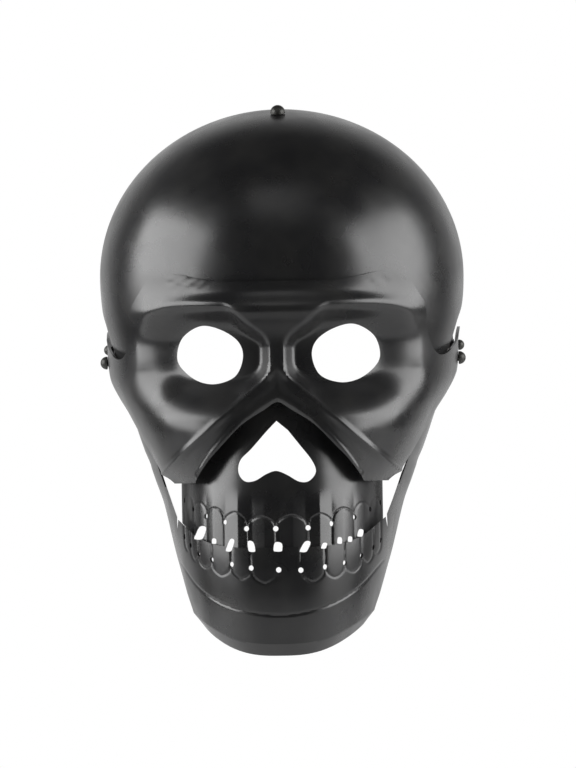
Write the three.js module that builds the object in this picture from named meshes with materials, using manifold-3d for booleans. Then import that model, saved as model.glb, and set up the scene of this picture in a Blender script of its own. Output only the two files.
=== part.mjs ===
// Steel skull mask with a hinged jaw and leather straps.
// Millimetres, +Z up. The face looks along -Y, and the origin is on the jaw's hinge axis,
// midway between the two side rivets.
import * as THREE from 'three';
import { mergeVertices } from 'three/addons/utils/BufferGeometryUtils.js';
import Module from 'manifold-3d';

const wasm = await Module();
wasm.setup();

// Driving sizes
const steel = 1.2;             // sheet thickness
const gap = 0.3;               // clearance between pieces that touch
const seatSlack = 0.2;         // more clearance where the face plate lies on the curved cap
const halfWidth = 92;          // half of the mask's width
const capDepth = 95;           // hinge axis to the forehead
const browStand = 5;           // how far the brow stands in front of the cap
const faceDepth = capDepth + browStand; // hinge axis to the brow
const far = -1.5 * faceDepth;  // in front of everything, where the cutters start
const faceHeight = 150;        // hinge axis down to the chin
const capLevel = 42.75;        // height of the cap's widest level
const capRise = 84.4;          // cap's widest level up to the crown
const capFall = 110;           // the same for the flatter curve below the widest level
const browSeat = 4;            // how far the cap runs on behind the face plate
const lobeSpread = 6;          // how far the cap's opening widens beside the eyes
const bandDepth = 6;           // how far the V band leans in below its crease
const socketDepth = 9;         // depth of the eye sockets
const biteGap = 0.6;           // gap between the upper and the lower teeth
const pleatDepth = 1.1;        // height of the ridge down the middle of each upper tooth
const toothHole = 1.35;        // radius of the drilled holes between the teeth
const chinTurn = 9;            // width of the chin's turned-in rim
const armEnd = 9.5;            // radius of the jaw arm's end round its rivet
const swingRoom = 2;           // most that the jaw arm leans in to clear the face plate
const pinRadius = 2;           // shank of the side and crown rivets
const jawHead = 3.3;           // head radius of the jaw rivets
const strapHead = 2.7;         // head radius of the strap rivets
const crownHead = 3.8;         // head radius of the crown rivet
const headRise = 0.55;         // height of a rivet head as a share of its diameter
const washer = 1;              // thickness of a rivet's closed end
const strapWidth = 21.5;       // width of both straps
const leather = 2;             // thickness of both straps
const strapBack = 20;          // strap rivet, behind the hinge axis
const strapLift = 6.5;         // strap rivet, above the hinge axis
const tabRound = 7;            // steel of the temple tab round the strap rivet
const strapRise = 20;          // climb of the back strap towards the back of the head, in degrees
const headBack = 102;          // hinge axis to the strap at the back of the head
const headRound = 2.6;         // roundness of the strap's plan behind the hinge axis, 2 is an ellipse
const crownFront = 24;         // crown rivet, in front of the hinge axis
const buckleBar = 2.6;         // thickness of the buckle's bars
const buckleSide = 45;         // direction of the buckle from straight back, in degrees

// Colours
const blackSteel = { color: 0x262626, roughness: 0.42, metalness: 0.6 };
const rivetSteel = { color: 0x3a3b37, roughness: 0.5, metalness: 0.8 };
const brownLeather = { color: 0x4a4643, roughness: 0.75, metalness: 0 };

// Small helpers
const clamp = THREE.MathUtils.clamp;
const lerp = THREE.MathUtils.lerp;
const smooth = (x, a, b) => THREE.MathUtils.smoothstep(x, a, b);

// Value of one column of a table at a height share, by a smooth curve through the rows
function column(rows, heightShare, index) {
  if (heightShare >= rows[0][0]) return rows[0][index];
  const last = rows.length - 1;
  if (heightShare <= rows[last][0]) return rows[last][index];
  const i = rows.findIndex((row) => row[0] <= heightShare) - 1;
  const slope = (k) => {
    const a = Math.max(0, k - 1);
    const b = Math.min(last, k + 1);
    return (rows[b][index] - rows[a][index]) / (rows[b][0] - rows[a][0]);
  };
  const span = rows[i + 1][0] - rows[i][0];
  const t = (heightShare - rows[i][0]) / span;
  const startCurve = (1 + 2 * t) * (1 - t) ** 2 * rows[i][index] + t * (1 - t) ** 2 * span * slope(i);
  const endCurve = t * t * (3 - 2 * t) * rows[i + 1][index] - t * t * (1 - t) * span * slope(i + 1);
  return startCurve + endCurve;
}

// Plan sections, from the top down.
// Columns: height as a share of faceHeight, half width of halfWidth, depth of faceDepth, roundness
const FACE_PLAN = [
  [0.313, 1.017, 0.966, 2.0],
  [0.240, 1.011, 0.998, 2.0],
  [0.187, 1.000, 1.030, 2.0],
  [0.133, 0.984, 1.015, 2.0],
  [0.067, 0.966, 0.995, 2.0],
  [0.000, 0.963, 0.995, 2.0],
  [-0.060, 0.948, 1.005, 2.0],
  [-0.120, 0.905, 1.025, 2.0],
  [-0.170, 0.864, 1.035, 2.0],
  [-0.253, 0.810, 1.050, 2.0],
  [-0.360, 0.750, 1.050, 2.0],
  [-0.420, 0.723, 1.045, 2.0],
];
const TEETH_PLAN = [
  [-0.093, 0.587, 0.930, 2.4],
  [-0.200, 0.587, 0.950, 2.4],
  [-0.333, 0.587, 0.980, 2.5],
  [-0.467, 0.582, 1.000, 2.6],
  [-0.627, 0.576, 1.020, 2.6],
];
const JAW_PLAN = [
  [-0.360, 0.729, 1.035, 2.0],
  [-0.400, 0.709, 1.035, 2.05],
  [-0.467, 0.670, 1.035, 2.2],
  [-0.533, 0.642, 1.040, 2.4],
  [-0.580, 0.625, 1.045, 2.5],
  [-0.647, 0.600, 1.047, 2.6],
  [-0.707, 0.576, 1.050, 2.6],
  [-0.787, 0.546, 1.045, 2.6],
  [-0.860, 0.515, 1.030, 2.6],
  [-0.950, 0.475, 1.000, 2.6],
];
// Room that the jaw arm leaves behind the face plate, as shares of swingRoom
const ARM_INSET = [
  [0.070, 0.35],
  [0.000, 0.25],
  [-0.053, 0.85],
  [-0.093, 0.95],
  [-0.170, 0.50],
  [-0.253, 0.10],
  [-0.360, 0.00],
];

// Half width and depth of the cap's outer face at a height
function capScale(z) {
  const share = (z - capLevel) / (z < capLevel ? capFall : capRise);
  return Math.sqrt(Math.max(0.05, 1 - share ** 2));
}
const capHalf = (z) => halfWidth * capScale(z);
const capFront = (z) => capDepth * capScale(z);
const seatLow = 0.16 * faceHeight;   // below this the face plate leaves the cap's curve
const seatHigh = 0.27 * faceHeight;  // above this it lies on the cap

// Each plan gives half width, depth and roundness of a piece's outer face at a height
function facePlan(z) {
  const onCap = smooth(z, seatLow, seatHigh);
  const offset = steel + gap + seatSlack;
  return {
    half: lerp(halfWidth * column(FACE_PLAN, z / faceHeight, 1), capHalf(z) + offset, onCap),
    depth: lerp(faceDepth * column(FACE_PLAN, z / faceHeight, 2), capFront(z) + offset, onCap),
    round: 2,
  };
}
function teethPlan(z) {
  return {
    half: halfWidth * column(TEETH_PLAN, z / faceHeight, 1),
    depth: faceDepth * column(TEETH_PLAN, z / faceHeight, 2),
    round: column(TEETH_PLAN, z / faceHeight, 3),
  };
}
function jawPlan(z) {
  const share = z / faceHeight;
  const inset = steel + gap + swingRoom * column(ARM_INSET, share, 1);
  const onBand = smooth(-share, 0.3, 0.4);
  const arm = facePlan(Math.max(z, -0.42 * faceHeight)).half - inset;
  return {
    half: lerp(arm, halfWidth * column(JAW_PLAN, share, 1), onBand),
    depth: faceDepth * column(JAW_PLAN, share, 2),
    round: column(JAW_PLAN, share, 3),
  };
}

// Depth of a plan at a sideways distance: how far in front of the hinge axis the face lies
function planDepth(plan, x) {
  const share = clamp(Math.abs(x) / plan.half, 0, 1);
  return plan.depth * (1 - share ** plan.round) ** (1 / plan.round);
}

// Point of a plan at an angle from straight ahead, and behind the hinge axis the strap's curve
function planPoint(plan, angle, z) {
  const side = Math.sign(angle);
  const turn = Math.abs(angle);
  const power = 2 / plan.round;
  if (turn <= Math.PI / 2) {
    const x = side * plan.half * Math.sin(turn) ** power;
    return new THREE.Vector3(x, -plan.depth * Math.cos(turn) ** power, z);
  }
  return rearPoint(side * plan.half, Math.PI - turn, z);
}
// Point of the curve round the back of the head, at an angle from straight back
function rearPoint(half, turn, z) {
  const power = 2 / headRound;
  return new THREE.Vector3(
    half * Math.sin(turn) ** power,
    headBack * Math.max(0, Math.cos(turn)) ** power,
    z,
  );
}

// A closed sheet from a grid of outer points, thickened inwards along the surface's normals
function sheetSolid(pointAt, columns, rows, thickness) {
  const positions = [];
  const small = 1e-3;
  const inner = [];
  const across = columns.length;
  for (let j = 0; j <= rows; j += 1) {
    for (const u of columns) {
      const v = j / rows;
      const point = pointAt(u, v);
      const alongU = pointAt(u + small, v).sub(pointAt(u - small, v));
      const lowV = Math.max(0, v - small);
      const highV = Math.min(1, v + small);
      const alongV = pointAt(u, highV).sub(pointAt(u, lowV));
      const normal = alongV.cross(alongU).normalize();
      positions.push(...point.toArray());
      inner.push(...point.addScaledVector(normal, -thickness).toArray());
    }
  }
  const count = across * (rows + 1);
  const index = [];
  const quad = (a, b, c, d) => index.push(a, b, c, a, c, d);
  for (let j = 0; j < rows; j += 1) {
    for (let i = 0; i < across - 1; i += 1) {
      const a = j * across + i;
      quad(a, a + across, a + across + 1, a + 1);
      quad(count + a, count + a + 1, count + a + across + 1, count + a + across);
    }
  }
  for (let i = 0; i < across - 1; i += 1) {
    const last = rows * across + i;
    quad(i, i + 1, count + i + 1, count + i);
    quad(last + 1, last, count + last, count + last + 1);
  }
  for (let j = 0; j < rows; j += 1) {
    const left = j * across;
    const right = left + across - 1;
    quad(left + across, left, count + left, count + left + across);
    quad(right, right + across, count + right + across, count + right);
  }
  const geometry = new THREE.BufferGeometry();
  geometry.setAttribute('position', new THREE.Float32BufferAttribute([...positions, ...inner], 3));
  geometry.setIndex(index);
  return toSolid(geometry);
}

// Solids for cutting and joining
function toSolid(geometry) {
  geometry.deleteAttribute('normal');
  geometry.deleteAttribute('uv');
  const merged = mergeVertices(geometry, 1e-4);
  return new wasm.Manifold(new wasm.Mesh({
    numProp: 3,
    vertProperties: new Float32Array(merged.attributes.position.array),
    triVerts: new Uint32Array(merged.index.array),
  }));
}
function toMesh(name, solid, look) {
  const mesh = solid.getMesh();
  const geometry = new THREE.BufferGeometry();
  geometry.setAttribute('position', new THREE.BufferAttribute(mesh.vertProperties, 3));
  geometry.setIndex(new THREE.BufferAttribute(mesh.triVerts, 1));
  geometry.computeVertexNormals();
  const result = new THREE.Mesh(geometry, new THREE.MeshStandardMaterial(look));
  result.name = name;
  return result;
}

// Cutter through the face: an outline seen from the front, from nearY back to farY
function frontCutter(shape, nearY, farY, curveSegments = 4) {
  const geometry = new THREE.ExtrudeGeometry(shape, {
    depth: farY - nearY, bevelEnabled: false, curveSegments,
  });
  geometry.rotateX(Math.PI / 2);
  geometry.translate(0, farY, 0);
  return toSolid(geometry);
}
// Cutter across the mask: an outline of (y, z) seen from the side, over the whole width
function sideCutter(shape, curveSegments = 4, placed = new THREE.Matrix4()) {
  const reach = 1.5 * halfWidth;
  const geometry = new THREE.ExtrudeGeometry(shape, {
    depth: 2 * reach, bevelEnabled: false, curveSegments,
  });
  geometry.applyMatrix4(new THREE.Matrix4().set(
    0, 0, 1, -reach,
    1, 0, 0, 0,
    0, 1, 0, 0,
    0, 0, 0, 1,
  ));
  geometry.applyMatrix4(placed);
  return toSolid(geometry);
}
function polygon(points) {
  return new THREE.Shape(points.map(([x, y]) => new THREE.Vector2(x, y)));
}
// Closed smooth outline through a few points
function roundOutline(points, segments) {
  const curve = new THREE.CatmullRomCurve3(
    points.map(([x, y]) => new THREE.Vector3(x, y, 0)), true, 'centripetal',
  );
  return polygon(curve.getSpacedPoints(segments).slice(0, -1).map((p) => [p.x, p.y]));
}
// Drill of 8 sides from one point to another
function drill(from, to, radius, sides = 8) {
  const length = from.distanceTo(to);
  const geometry = new THREE.CylinderGeometry(radius, radius, length, sides);
  const direction = to.clone().sub(from).normalize();
  geometry.applyQuaternion(
    new THREE.Quaternion().setFromUnitVectors(new THREE.Vector3(0, 1, 0), direction),
  );
  const middle = from.clone().lerp(to, 0.5);
  geometry.translate(middle.x, middle.y, middle.z);
  return toSolid(geometry);
}
const evenColumns = (from, to, count) => (
  Array.from({ length: count + 1 }, (_, i) => lerp(from, to, i / count))
);

// Lines of the face, seen from the front
const creaseTop = -0.02 * faceHeight;      // where the V crease starts under the nose bridge
const creaseSlope = 0.9;                   // fall of the V crease
const creaseLine = (x) => creaseTop - creaseSlope * Math.abs(x);
// Lower edge of the V band. Columns: sideways share of halfWidth, height share of faceHeight
const BAND_EDGE = [
  [0.000, -0.140],
  [0.073, -0.165],
  [0.199, -0.215],
  [0.314, -0.287],
  [0.383, -0.333],
  [0.443, -0.385],
  [0.460, -0.407],
];
const cheekBottom = -0.414 * faceHeight;
// Height of the band's lower edge at a sideways distance
function bandEdge(x) {
  const share = Math.abs(x) / halfWidth;
  for (let i = 1; i < BAND_EDGE.length; i += 1) {
    const [x0, z0] = BAND_EDGE[i - 1];
    const [x1, z1] = BAND_EDGE[i];
    if (share <= x1) return faceHeight * lerp(z0, z1, (share - x0) / (x1 - x0));
  }
  return cheekBottom;
}
// Upper edge of the face plate on the cap. Columns as above
const BROW_EDGE = [
  [0.00, 0.265],
  [0.30, 0.265],
  [0.44, 0.277],
  [0.54, 0.290],
  [0.62, 0.290],
  [0.70, 0.270],
];
// Eye holes. Columns: sideways and upward shares of the eye's half width and half height
const eyeHalfWidth = 17.1;
const eyeHalfHeight = 14.7;
const eyeSide = 34.2;
const eyeHeight = 3.2;
const EYE_OUTLINE = [
  [-0.98, -0.02],
  [-0.80, 0.60],
  [-0.25, 0.98],
  [0.35, 0.84],
  [0.85, 0.44],
  [0.99, -0.10],
  [0.76, -0.74],
  [0.18, -1.00],
  [-0.38, -0.88],
  [-0.84, -0.46],
];
// Eye sockets: rounded dishes round the eye holes
const socketSide = 36;
const socketHeight = 2.5;
const socketHalfWidth = 32.5;
const socketHalfHeight = 25;
const socketRound = 3.4;

// How far the face plate's surface stands in front of its plain plan
function faceRelief(x, z) {
  const across = Math.abs(Math.abs(x) - socketSide) / socketHalfWidth;
  const up = Math.abs(z - socketHeight) / socketHalfHeight;
  const fromEye = (across ** socketRound + up ** socketRound) ** (1 / socketRound);
  const socket = -socketDepth * (1 - smooth(fromEye, 0.62, 1.04));
  const crease = creaseLine(x);
  const edge = bandEdge(x);
  const below = clamp((crease - z) / Math.max(4, crease - edge), 0, 1);
  const lean = bandDepth * (1 - 0.5 * clamp(Math.abs(x) / (0.46 * halfWidth), 0, 1));
  return socket - lean * below;
}

// Skull cap: front half of a dome, open below the brow, with a lobe down each side
const CAP_REAR = [
  // Columns: y as a share of capDepth, height as a share of capRise above the widest level
  [0.085, 1.10],
  [0.085, 0.30],
  [0.060, 0.00],
  [-0.020, -0.17],
  [-0.150, -0.28],
  [-0.200, -0.42],
  [-0.240, -0.49],
  [-0.320, -0.51],
  [-0.420, -0.48],
  [-0.520, -0.42],
];
function skullCap() {
  const point = (angle, v) => {
    const tilt = lerp(Math.PI / 2, -0.62, v);
    const height = capLevel + capRise * Math.sin(tilt);
    const around = tilt < 0 ? capScale(height) : Math.cos(tilt);
    return new THREE.Vector3(
      halfWidth * Math.sin(angle) * around,
      -capDepth * Math.cos(angle) * around,
      height,
    );
  };
  const reach = Math.PI / 2 + 0.2;
  const smallTop = 0.02;
  const belowTop = (u, v) => point(u, lerp(smallTop, 1, v));
  const shell = sheetSolid(belowTop, evenColumns(-reach, reach, 24), 14, steel);
  const rear = CAP_REAR.map(([y, z]) => [y * capDepth, capLevel + z * capRise]);
  const low = rear[rear.length - 1][1];
  const outline = sideCutter(polygon([[far, 1.2 * capRise + capLevel], ...rear, [far, low]]));
  const seat = browSeat / faceHeight;
  const opening = BROW_EDGE.map(([x, z]) => (
    [x * halfWidth - browSeat * smooth(x, 0.3, 0.6), (z - seat) * faceHeight]
  ));
  const sideTop = opening[opening.length - 1];
  const edgePoints = [
    ...opening,
    [sideTop[0] + lobeSpread, 0.12 * faceHeight],
    [sideTop[0] + 1.5 * lobeSpread, -0.3 * faceHeight],
  ];
  const mirrored = edgePoints.slice().reverse().map(([x, z]) => [-x, z]);
  const front = frontCutter(polygon([...mirrored, ...edgePoints.slice(1)]), far, -0.2 * capDepth);
  const pin = drill(crownPoint(2 * steel), crownPoint(-3 * steel), pinRadius + gap, 10);
  return shell.intersect(outline).subtract(front).subtract(pin);
}
// A point over the crown rivet, at a distance outside the cap's surface
function crownPoint(outside) {
  const tilt = Math.acos(crownFront / capDepth);
  const surface = new THREE.Vector3(0, -crownFront, capLevel + capRise * Math.sin(tilt));
  const normal = new THREE.Vector3(0, -Math.cos(tilt) / capDepth, Math.sin(tilt) / capRise).normalize();
  return surface.addScaledVector(normal, outside);
}

// Rear and lower edge of the face plate from the side, with the temple tab round both rivets.
// Columns: y as a share of faceDepth, height as a share of faceHeight
const PLATE_SIDE = [
  [-0.76, 0.310],
  [-0.70, 0.278],
  [-0.66, 0.245],
  [-0.62, 0.195],
  [-0.58, 0.140],
  [-0.53, 0.075],
  [-0.46, 0.020],
  [-0.36, 0.012],
  [-0.22, 0.035],
  [-0.08, 0.062],
  [0.04, 0.088],
  [0.20, 0.106],
];
const PLATE_UNDER = [
  [0.20, -0.018],
  [0.08, -0.040],
  [-0.05, -0.062],
  [-0.14, -0.118],
  [-0.24, -0.185],
  [-0.35, -0.265],
  [-0.47, -0.352],
  [-0.56, -0.412],
];
function facePlate() {
  const top = 0.32 * faceHeight;
  const reach = Math.PI / 2 + 0.32;
  const point = (angle, v) => {
    const z = lerp(top, cheekBottom - 1, v);
    const plan = facePlan(z);
    const base = planPoint(plan, angle, z);
    const out = new THREE.Vector3(base.x / plan.half ** 2, base.y / plan.depth ** 2, 0).normalize();
    const front = base.y < 0 ? 1 : 0;
    return base.addScaledVector(out, front * faceRelief(base.x, z));
  };
  const shell = sheetSolid(point, faceColumns(reach), 25, steel);
  const scale = ([y, z]) => [y * faceDepth, z * faceHeight];
  const tabEnd = [strapBack + tabRound, strapLift];
  const tabCorner = tabEnd[0] - 0.2 * tabRound;
  const sideShape = polygon([
    [far, 0.33 * faceHeight],
    ...PLATE_SIDE.map(scale),
    [tabCorner, strapLift + 0.9 * tabRound],
    tabEnd,
    [tabCorner, strapLift - 0.9 * tabRound],
    ...PLATE_UNDER.map(scale),
    [far, cheekBottom],
  ]);
  const brow = BROW_EDGE.map(([x, z]) => [x * halfWidth, z * faceHeight]);
  const band = BAND_EDGE.map(([x, z]) => [x * halfWidth, z * faceHeight]);
  const beside = 1.2 * halfWidth;
  const right = [...brow, [beside, brow[5][1]], [beside, cheekBottom], ...band.slice().reverse()];
  const left = right.slice(1, -1).reverse().map(([x, z]) => [-x, z]);
  const frontShape = polygon([...right, ...left]);
  let plate = shell.intersect(sideCutter(sideShape)).intersect(frontCutter(frontShape, far, 0.5 * faceDepth));
  for (const side of [-1, 1]) {
    const points = EYE_OUTLINE.map(([x, z]) => (
      [side * (eyeSide - x * eyeHalfWidth), eyeHeight + z * eyeHalfHeight]
    ));
    plate = plate.subtract(frontCutter(roundOutline(points, 22), far, -0.3 * faceDepth));
  }
  for (const side of [-1, 1]) {
    plate = plate.subtract(tabDrill(side, 0, 0)).subtract(tabDrill(side, strapBack, strapLift));
  }
  return plate;
}
// Columns of the face plate, closer together round the sockets and at the middle
function faceColumns(reach) {
  const shares = [0, 0.035, 0.08, 0.14, 0.2, 0.28, 0.36, 0.44, 0.51, 0.57, 0.62, 0.67, 0.72, 0.78, 0.86, 0.93, 1];
  const right = shares.map((share) => share * reach);
  return [...right.slice(1).reverse().map((angle) => -angle), ...right];
}

// Middles of the upper teeth and the holes between them, as shares of the plate's half width.
// Hole columns: sideways share of teethHalf, height share of holeLevel
const teethHalf = 0.55 * halfWidth;
const holeLevel = 0.5 * faceHeight;
const pleatHalf = 0.13 * teethHalf;    // ridge to valley of a tooth's pleat
const UPPER_RIDGES = [-0.93, -0.80, -0.66, -0.41, -0.14, 0.13, 0.40, 0.63, 0.83, 0.95];
const UPPER_HOLES = [
  [-0.965, -0.931],
  [-0.865, -0.987],
  [-0.730, -1.035],
  [-0.545, -1.076],
  [-0.325, -1.121],
  [-0.035, -1.124],
  [0.285, -1.121],
  [0.515, -1.096],
  [0.735, -1.056],
  [0.880, -1.005],
  [0.975, -0.965],
];
// Bite line between the upper and lower teeth, and the open gaps along it
const BITE_LINE = [
  // Columns: sideways share of teethHalf, height share of faceHeight
  [0.00, -0.623],
  [0.35, -0.622],
  [0.62, -0.612],
  [0.80, -0.590],
  [0.92, -0.560],
  [1.03, -0.528],
];
function biteLine(x) {
  const share = Math.abs(x) / teethHalf;
  for (let i = 1; i < BITE_LINE.length; i += 1) {
    const [x0, z0] = BITE_LINE[i - 1];
    const [x1, z1] = BITE_LINE[i];
    if (share <= x1) return faceHeight * lerp(z0, z1, (share - x0) / (x1 - x0));
  }
  return faceHeight * BITE_LINE[BITE_LINE.length - 1][1];
}
// Columns: middle as a share of teethHalf, offset from the bite line, half width, half height, slant
const BITE_GAPS = [
  [-0.795, 2.5, 2.6, 3.4, 0.5],
  [-0.655, 1.0, 1.3, 1.4, 0.0],
  [-0.490, 0.2, 1.7, 3.2, 0.6],
  [-0.280, 0.3, 1.9, 2.8, -0.3],
  [-0.015, 0.0, 2.4, 2.4, 0.0],
  [0.255, -0.2, 2.1, 2.8, 0.6],
  [0.440, -0.4, 1.4, 1.5, 0.3],
  [0.590, 1.2, 1.3, 1.7, 0.0],
  [0.690, 0.3, 1.2, 1.4, 0.0],
  [0.790, 1.4, 1.5, 1.9, 0.2],
];
function biteGapCutter([middle, offset, halfX, halfZ, slant]) {
  const x = middle * teethHalf;
  const z = biteLine(x) + offset;
  const corners = [[-1, -0.7], [-0.5, -1], [0.7, -1], [1, -0.5], [0.8, 0.9], [-0.7, 1]];
  const shape = polygon(corners.map(([a, b]) => [x + halfX * (a + slant * b), z + halfZ * b]));
  return frontCutter(shape, far, -0.25 * faceDepth);
}
// Nose hole: an upside-down heart in the upper-teeth plate.
// Columns: sideways share of noseHalf, height share of noseRise above the notch
const noseHalf = 19;
const noseSide = -0.8;
const noseRise = 25;
const noseNotch = -55.4;
const NOSE_OUTLINE = [
  [0.00, 1.00],
  [-0.27, 0.79],
  [-0.67, 0.45],
  [-0.97, 0.22],
  [-1.02, -0.03],
  [-0.85, -0.20],
  [-0.58, -0.19],
  [-0.28, -0.06],
  [-0.02, 0.00],
  [0.26, -0.08],
  [0.58, -0.22],
  [0.84, -0.21],
  [1.02, -0.03],
  [0.92, 0.20],
  [0.60, 0.52],
  [0.30, 0.81],
];
function upperTeeth() {
  const top = -0.093 * faceHeight;
  const low = -0.635 * faceHeight;
  const pleatTop = -0.42 * faceHeight;
  const ridgeAt = (x) => {
    const nearest = Math.min(...UPPER_RIDGES.map((share) => Math.abs(x - share * teethHalf)));
    return pleatDepth * Math.max(0, 1 - nearest / pleatHalf);
  };
  const point = (x, v) => {
    const z = lerp(top, low, v);
    const plan = teethPlan(z);
    const rise = ridgeAt(x) * smooth(-z, -pleatTop, 0.5 * faceHeight);
    return new THREE.Vector3(x, -planDepth(plan, x) - rise, z);
  };
  const edges = [-1, -0.985, ...valleyShares(), 0.985, 1];
  const columns = [...edges, ...UPPER_RIDGES].sort((a, b) => a - b).map((share) => share * teethHalf);
  let plate = sheetSolid(point, columns, 10, steel);
  const bottom = BITE_LINE.map(([x, z]) => [x * teethHalf, z * faceHeight + biteGap / 2]);
  const reach = 1.5 * teethHalf;
  const shape = polygon([
    ...bottom.slice(1).reverse().map(([x, z]) => [-x, z]),
    ...bottom,
    [reach, bottom[5][1]],
    [reach, top],
    [0.3 * teethHalf, top],
    [0, top + 0.5],
    [-0.3 * teethHalf, top],
    [-reach, top],
    [-reach, bottom[5][1]],
  ]);
  plate = plate.intersect(frontCutter(shape, far, 0));
  plate = plate.subtract(frontCutter(teethTop(), far, 0));
  const nose = NOSE_OUTLINE.map(([x, z]) => [noseSide + x * noseHalf, noseNotch + z * noseRise]);
  plate = plate.subtract(frontCutter(polygon(nose), far, -0.3 * faceDepth));
  for (const row of BITE_GAPS) plate = plate.subtract(biteGapCutter(row));
  for (const [share, level] of UPPER_HOLES) {
    plate = plate.subtract(toothDrill(teethPlan, share, level * holeLevel));
  }
  return plate;
}
// The teeth plate's upper edge runs a little above the V band's lower edge, hidden behind it
function teethTop() {
  const cover = 5;
  const edge = BAND_EDGE.map(([x, z]) => [x * halfWidth, z * faceHeight + cover]);
  const last = edge[edge.length - 1];
  const right = [...edge, [1.5 * teethHalf, last[1]], [1.5 * teethHalf, 0.1 * faceHeight]];
  return polygon([...right, ...right.slice(1).reverse().map(([x, z]) => [-x, z])]);
}
function valleyShares() {
  return UPPER_RIDGES.slice(1).map((share, i) => (share + UPPER_RIDGES[i]) / 2);
}
// Drill square to the surface at a tooth hole
function toothDrill(planAt, share, z) {
  const plan = planAt(z);
  const x = share * teethHalf;
  const small = 0.05;
  const slope = (planDepth(plan, x + small) - planDepth(plan, x - small)) / (2 * small);
  const normal = new THREE.Vector3(-slope, -1, 0).normalize();
  const surface = new THREE.Vector3(x, -planDepth(plan, x), z);
  const from = surface.clone().addScaledVector(normal, 4 * steel);
  const to = surface.clone().addScaledVector(normal, -4 * steel);
  return drill(from, to, toothHole);
}

// Jaw: the lower teeth, the chin and both arms in one sheet
const LOWER_HOLES = [
  [-0.965, -1.172],
  [-0.900, -1.230],
  [-0.815, -1.288],
  [-0.680, -1.325],
  [-0.480, -1.357],
  [-0.285, -1.383],
  [-0.010, -1.398],
  [0.210, -1.402],
  [0.450, -1.383],
  [0.640, -1.359],
  [0.800, -1.315],
  [0.915, -1.263],
  [0.985, -1.215],
];
// Rear and front edges of the jaw's arm from the side. Columns as in PLATE_SIDE
const ARM_REAR = [
  [0.040, -0.150],
  [-0.070, -0.300],
  [-0.160, -0.430],
  [-0.250, -0.560],
  [-0.340, -0.680],
  [-0.420, -0.780],
  [-0.480, -0.860],
  [-0.520, -1.050],
];
const ARM_FRONT = [
  [-0.430, -0.420],
  [-0.345, -0.300],
  [-0.240, -0.170],
  [-0.150, -0.080],
];
// Height of the chin's crease at a sideways distance
const chinLevel = -0.9 * faceHeight;
const creaseLow = -0.947 * faceHeight;
const creaseRise = 0.088 * faceHeight;
const creaseHalf = 0.43 * halfWidth;
const chinCrease = (x) => creaseLow + creaseRise * (Math.abs(x) / creaseHalf) ** 2.2;
function jaw() {
  const top = armEnd + 1;
  const creaseShare = 0.9;
  const point = (angle, v) => {
    const lowest = jawPlan(chinLevel).half * Math.sin(Math.abs(angle));
    const crease = chinCrease(lowest);
    const z = lerp(top, crease, Math.min(1, v / creaseShare));
    const base = planPoint(jawPlan(z), angle, z);
    const turned = Math.max(0, (v - creaseShare) / (1 - creaseShare)) * chinTurn;
    const inward = new THREE.Vector3(-base.x, -base.y, 0).normalize();
    return base.addScaledVector(inward, turned * 0.75).add(new THREE.Vector3(0, 0, -turned * 0.66));
  };
  const reach = Math.PI / 2 + 0.12;
  const shell = sheetSolid(point, jawColumns(reach), 18, steel);
  const scale = ([y, z]) => [y * faceDepth, z * faceHeight];
  const end = Array.from({ length: 9 }, (_, i) => {
    const angle = Math.PI * (i / 8);
    return [-armEnd * Math.cos(angle), armEnd * Math.sin(angle)];
  });
  const sideShape = polygon([
    [far, -0.42 * faceHeight],
    ...ARM_FRONT.map(scale),
    ...end,
    ...ARM_REAR.map(scale),
    [far, -1.05 * faceHeight],
  ]);
  let piece = shell.intersect(sideCutter(sideShape));
  piece = piece.subtract(frontCutter(jawOpening(), far, -0.1 * faceDepth));
  for (const row of BITE_GAPS) piece = piece.subtract(biteGapCutter(row));
  for (const [share, level] of LOWER_HOLES) {
    piece = piece.subtract(toothDrill(jawPlan, share, level * holeLevel));
  }
  for (const side of [-1, 1]) piece = piece.subtract(tabDrill(side, 0, 0));
  return piece;
}
function jawColumns(reach) {
  const shares = [0, 0.05, 0.11, 0.17, 0.23, 0.29, 0.35, 0.41, 0.47, 0.53, 0.59, 0.65, 0.72, 0.8, 0.88, 0.94, 1];
  const right = shares.map((share) => share * reach);
  return [...right.slice(1).reverse().map((angle) => -angle), ...right];
}
// What is open above the lower teeth, from the front: up to the arms' inner edges
function jawOpening() {
  const edge = BITE_LINE.map(([x, z]) => [x * teethHalf, z * faceHeight - biteGap / 2]);
  // Columns: sideways share of halfWidth, height share of faceHeight
  const armInner = [
    [0.576, -0.572],
    [0.574, -0.520],
    [0.602, -0.475],
    [0.625, -0.435],
    [0.652, -0.385],
    [0.710, -0.300],
    [0.720, 0.100],
  ].map(([x, z]) => [x * halfWidth, z * faceHeight]);
  const right = [...edge, ...armInner];
  return polygon([...right, ...right.slice(1).reverse().map(([x, z]) => [-x, z])]);
}

// Rivets: a shank with a domed head outside and a flat closed end inside
function rivet(headRadius, length) {
  const steps = 3;
  const rise = 2 * headRise * headRadius;
  const profile = [new THREE.Vector2(0, -length - washer)];
  profile.push(new THREE.Vector2(pinRadius * 1.5, -length - washer));
  profile.push(new THREE.Vector2(pinRadius * 1.5, -length));
  profile.push(new THREE.Vector2(pinRadius, -length));
  profile.push(new THREE.Vector2(pinRadius, 0));
  for (let i = 0; i < steps; i += 1) {
    const angle = (Math.PI / 2) * (i / steps);
    profile.push(new THREE.Vector2(headRadius * Math.cos(angle), rise * Math.sin(angle)));
  }
  profile.push(new THREE.Vector2(0, rise));
  return new THREE.LatheGeometry(profile, 10);
}
// A point over the temple tab, at a distance outside its surface
function tabPoint(side, y, z, outside) {
  const half = facePlan(z).half;
  const x = side * half * (1 - (y / headBack) ** headRound) ** (1 / headRound);
  const surface = new THREE.Vector3(x, y, z);
  return surface.addScaledVector(rearNormal(surface, half), outside);
}
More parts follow.
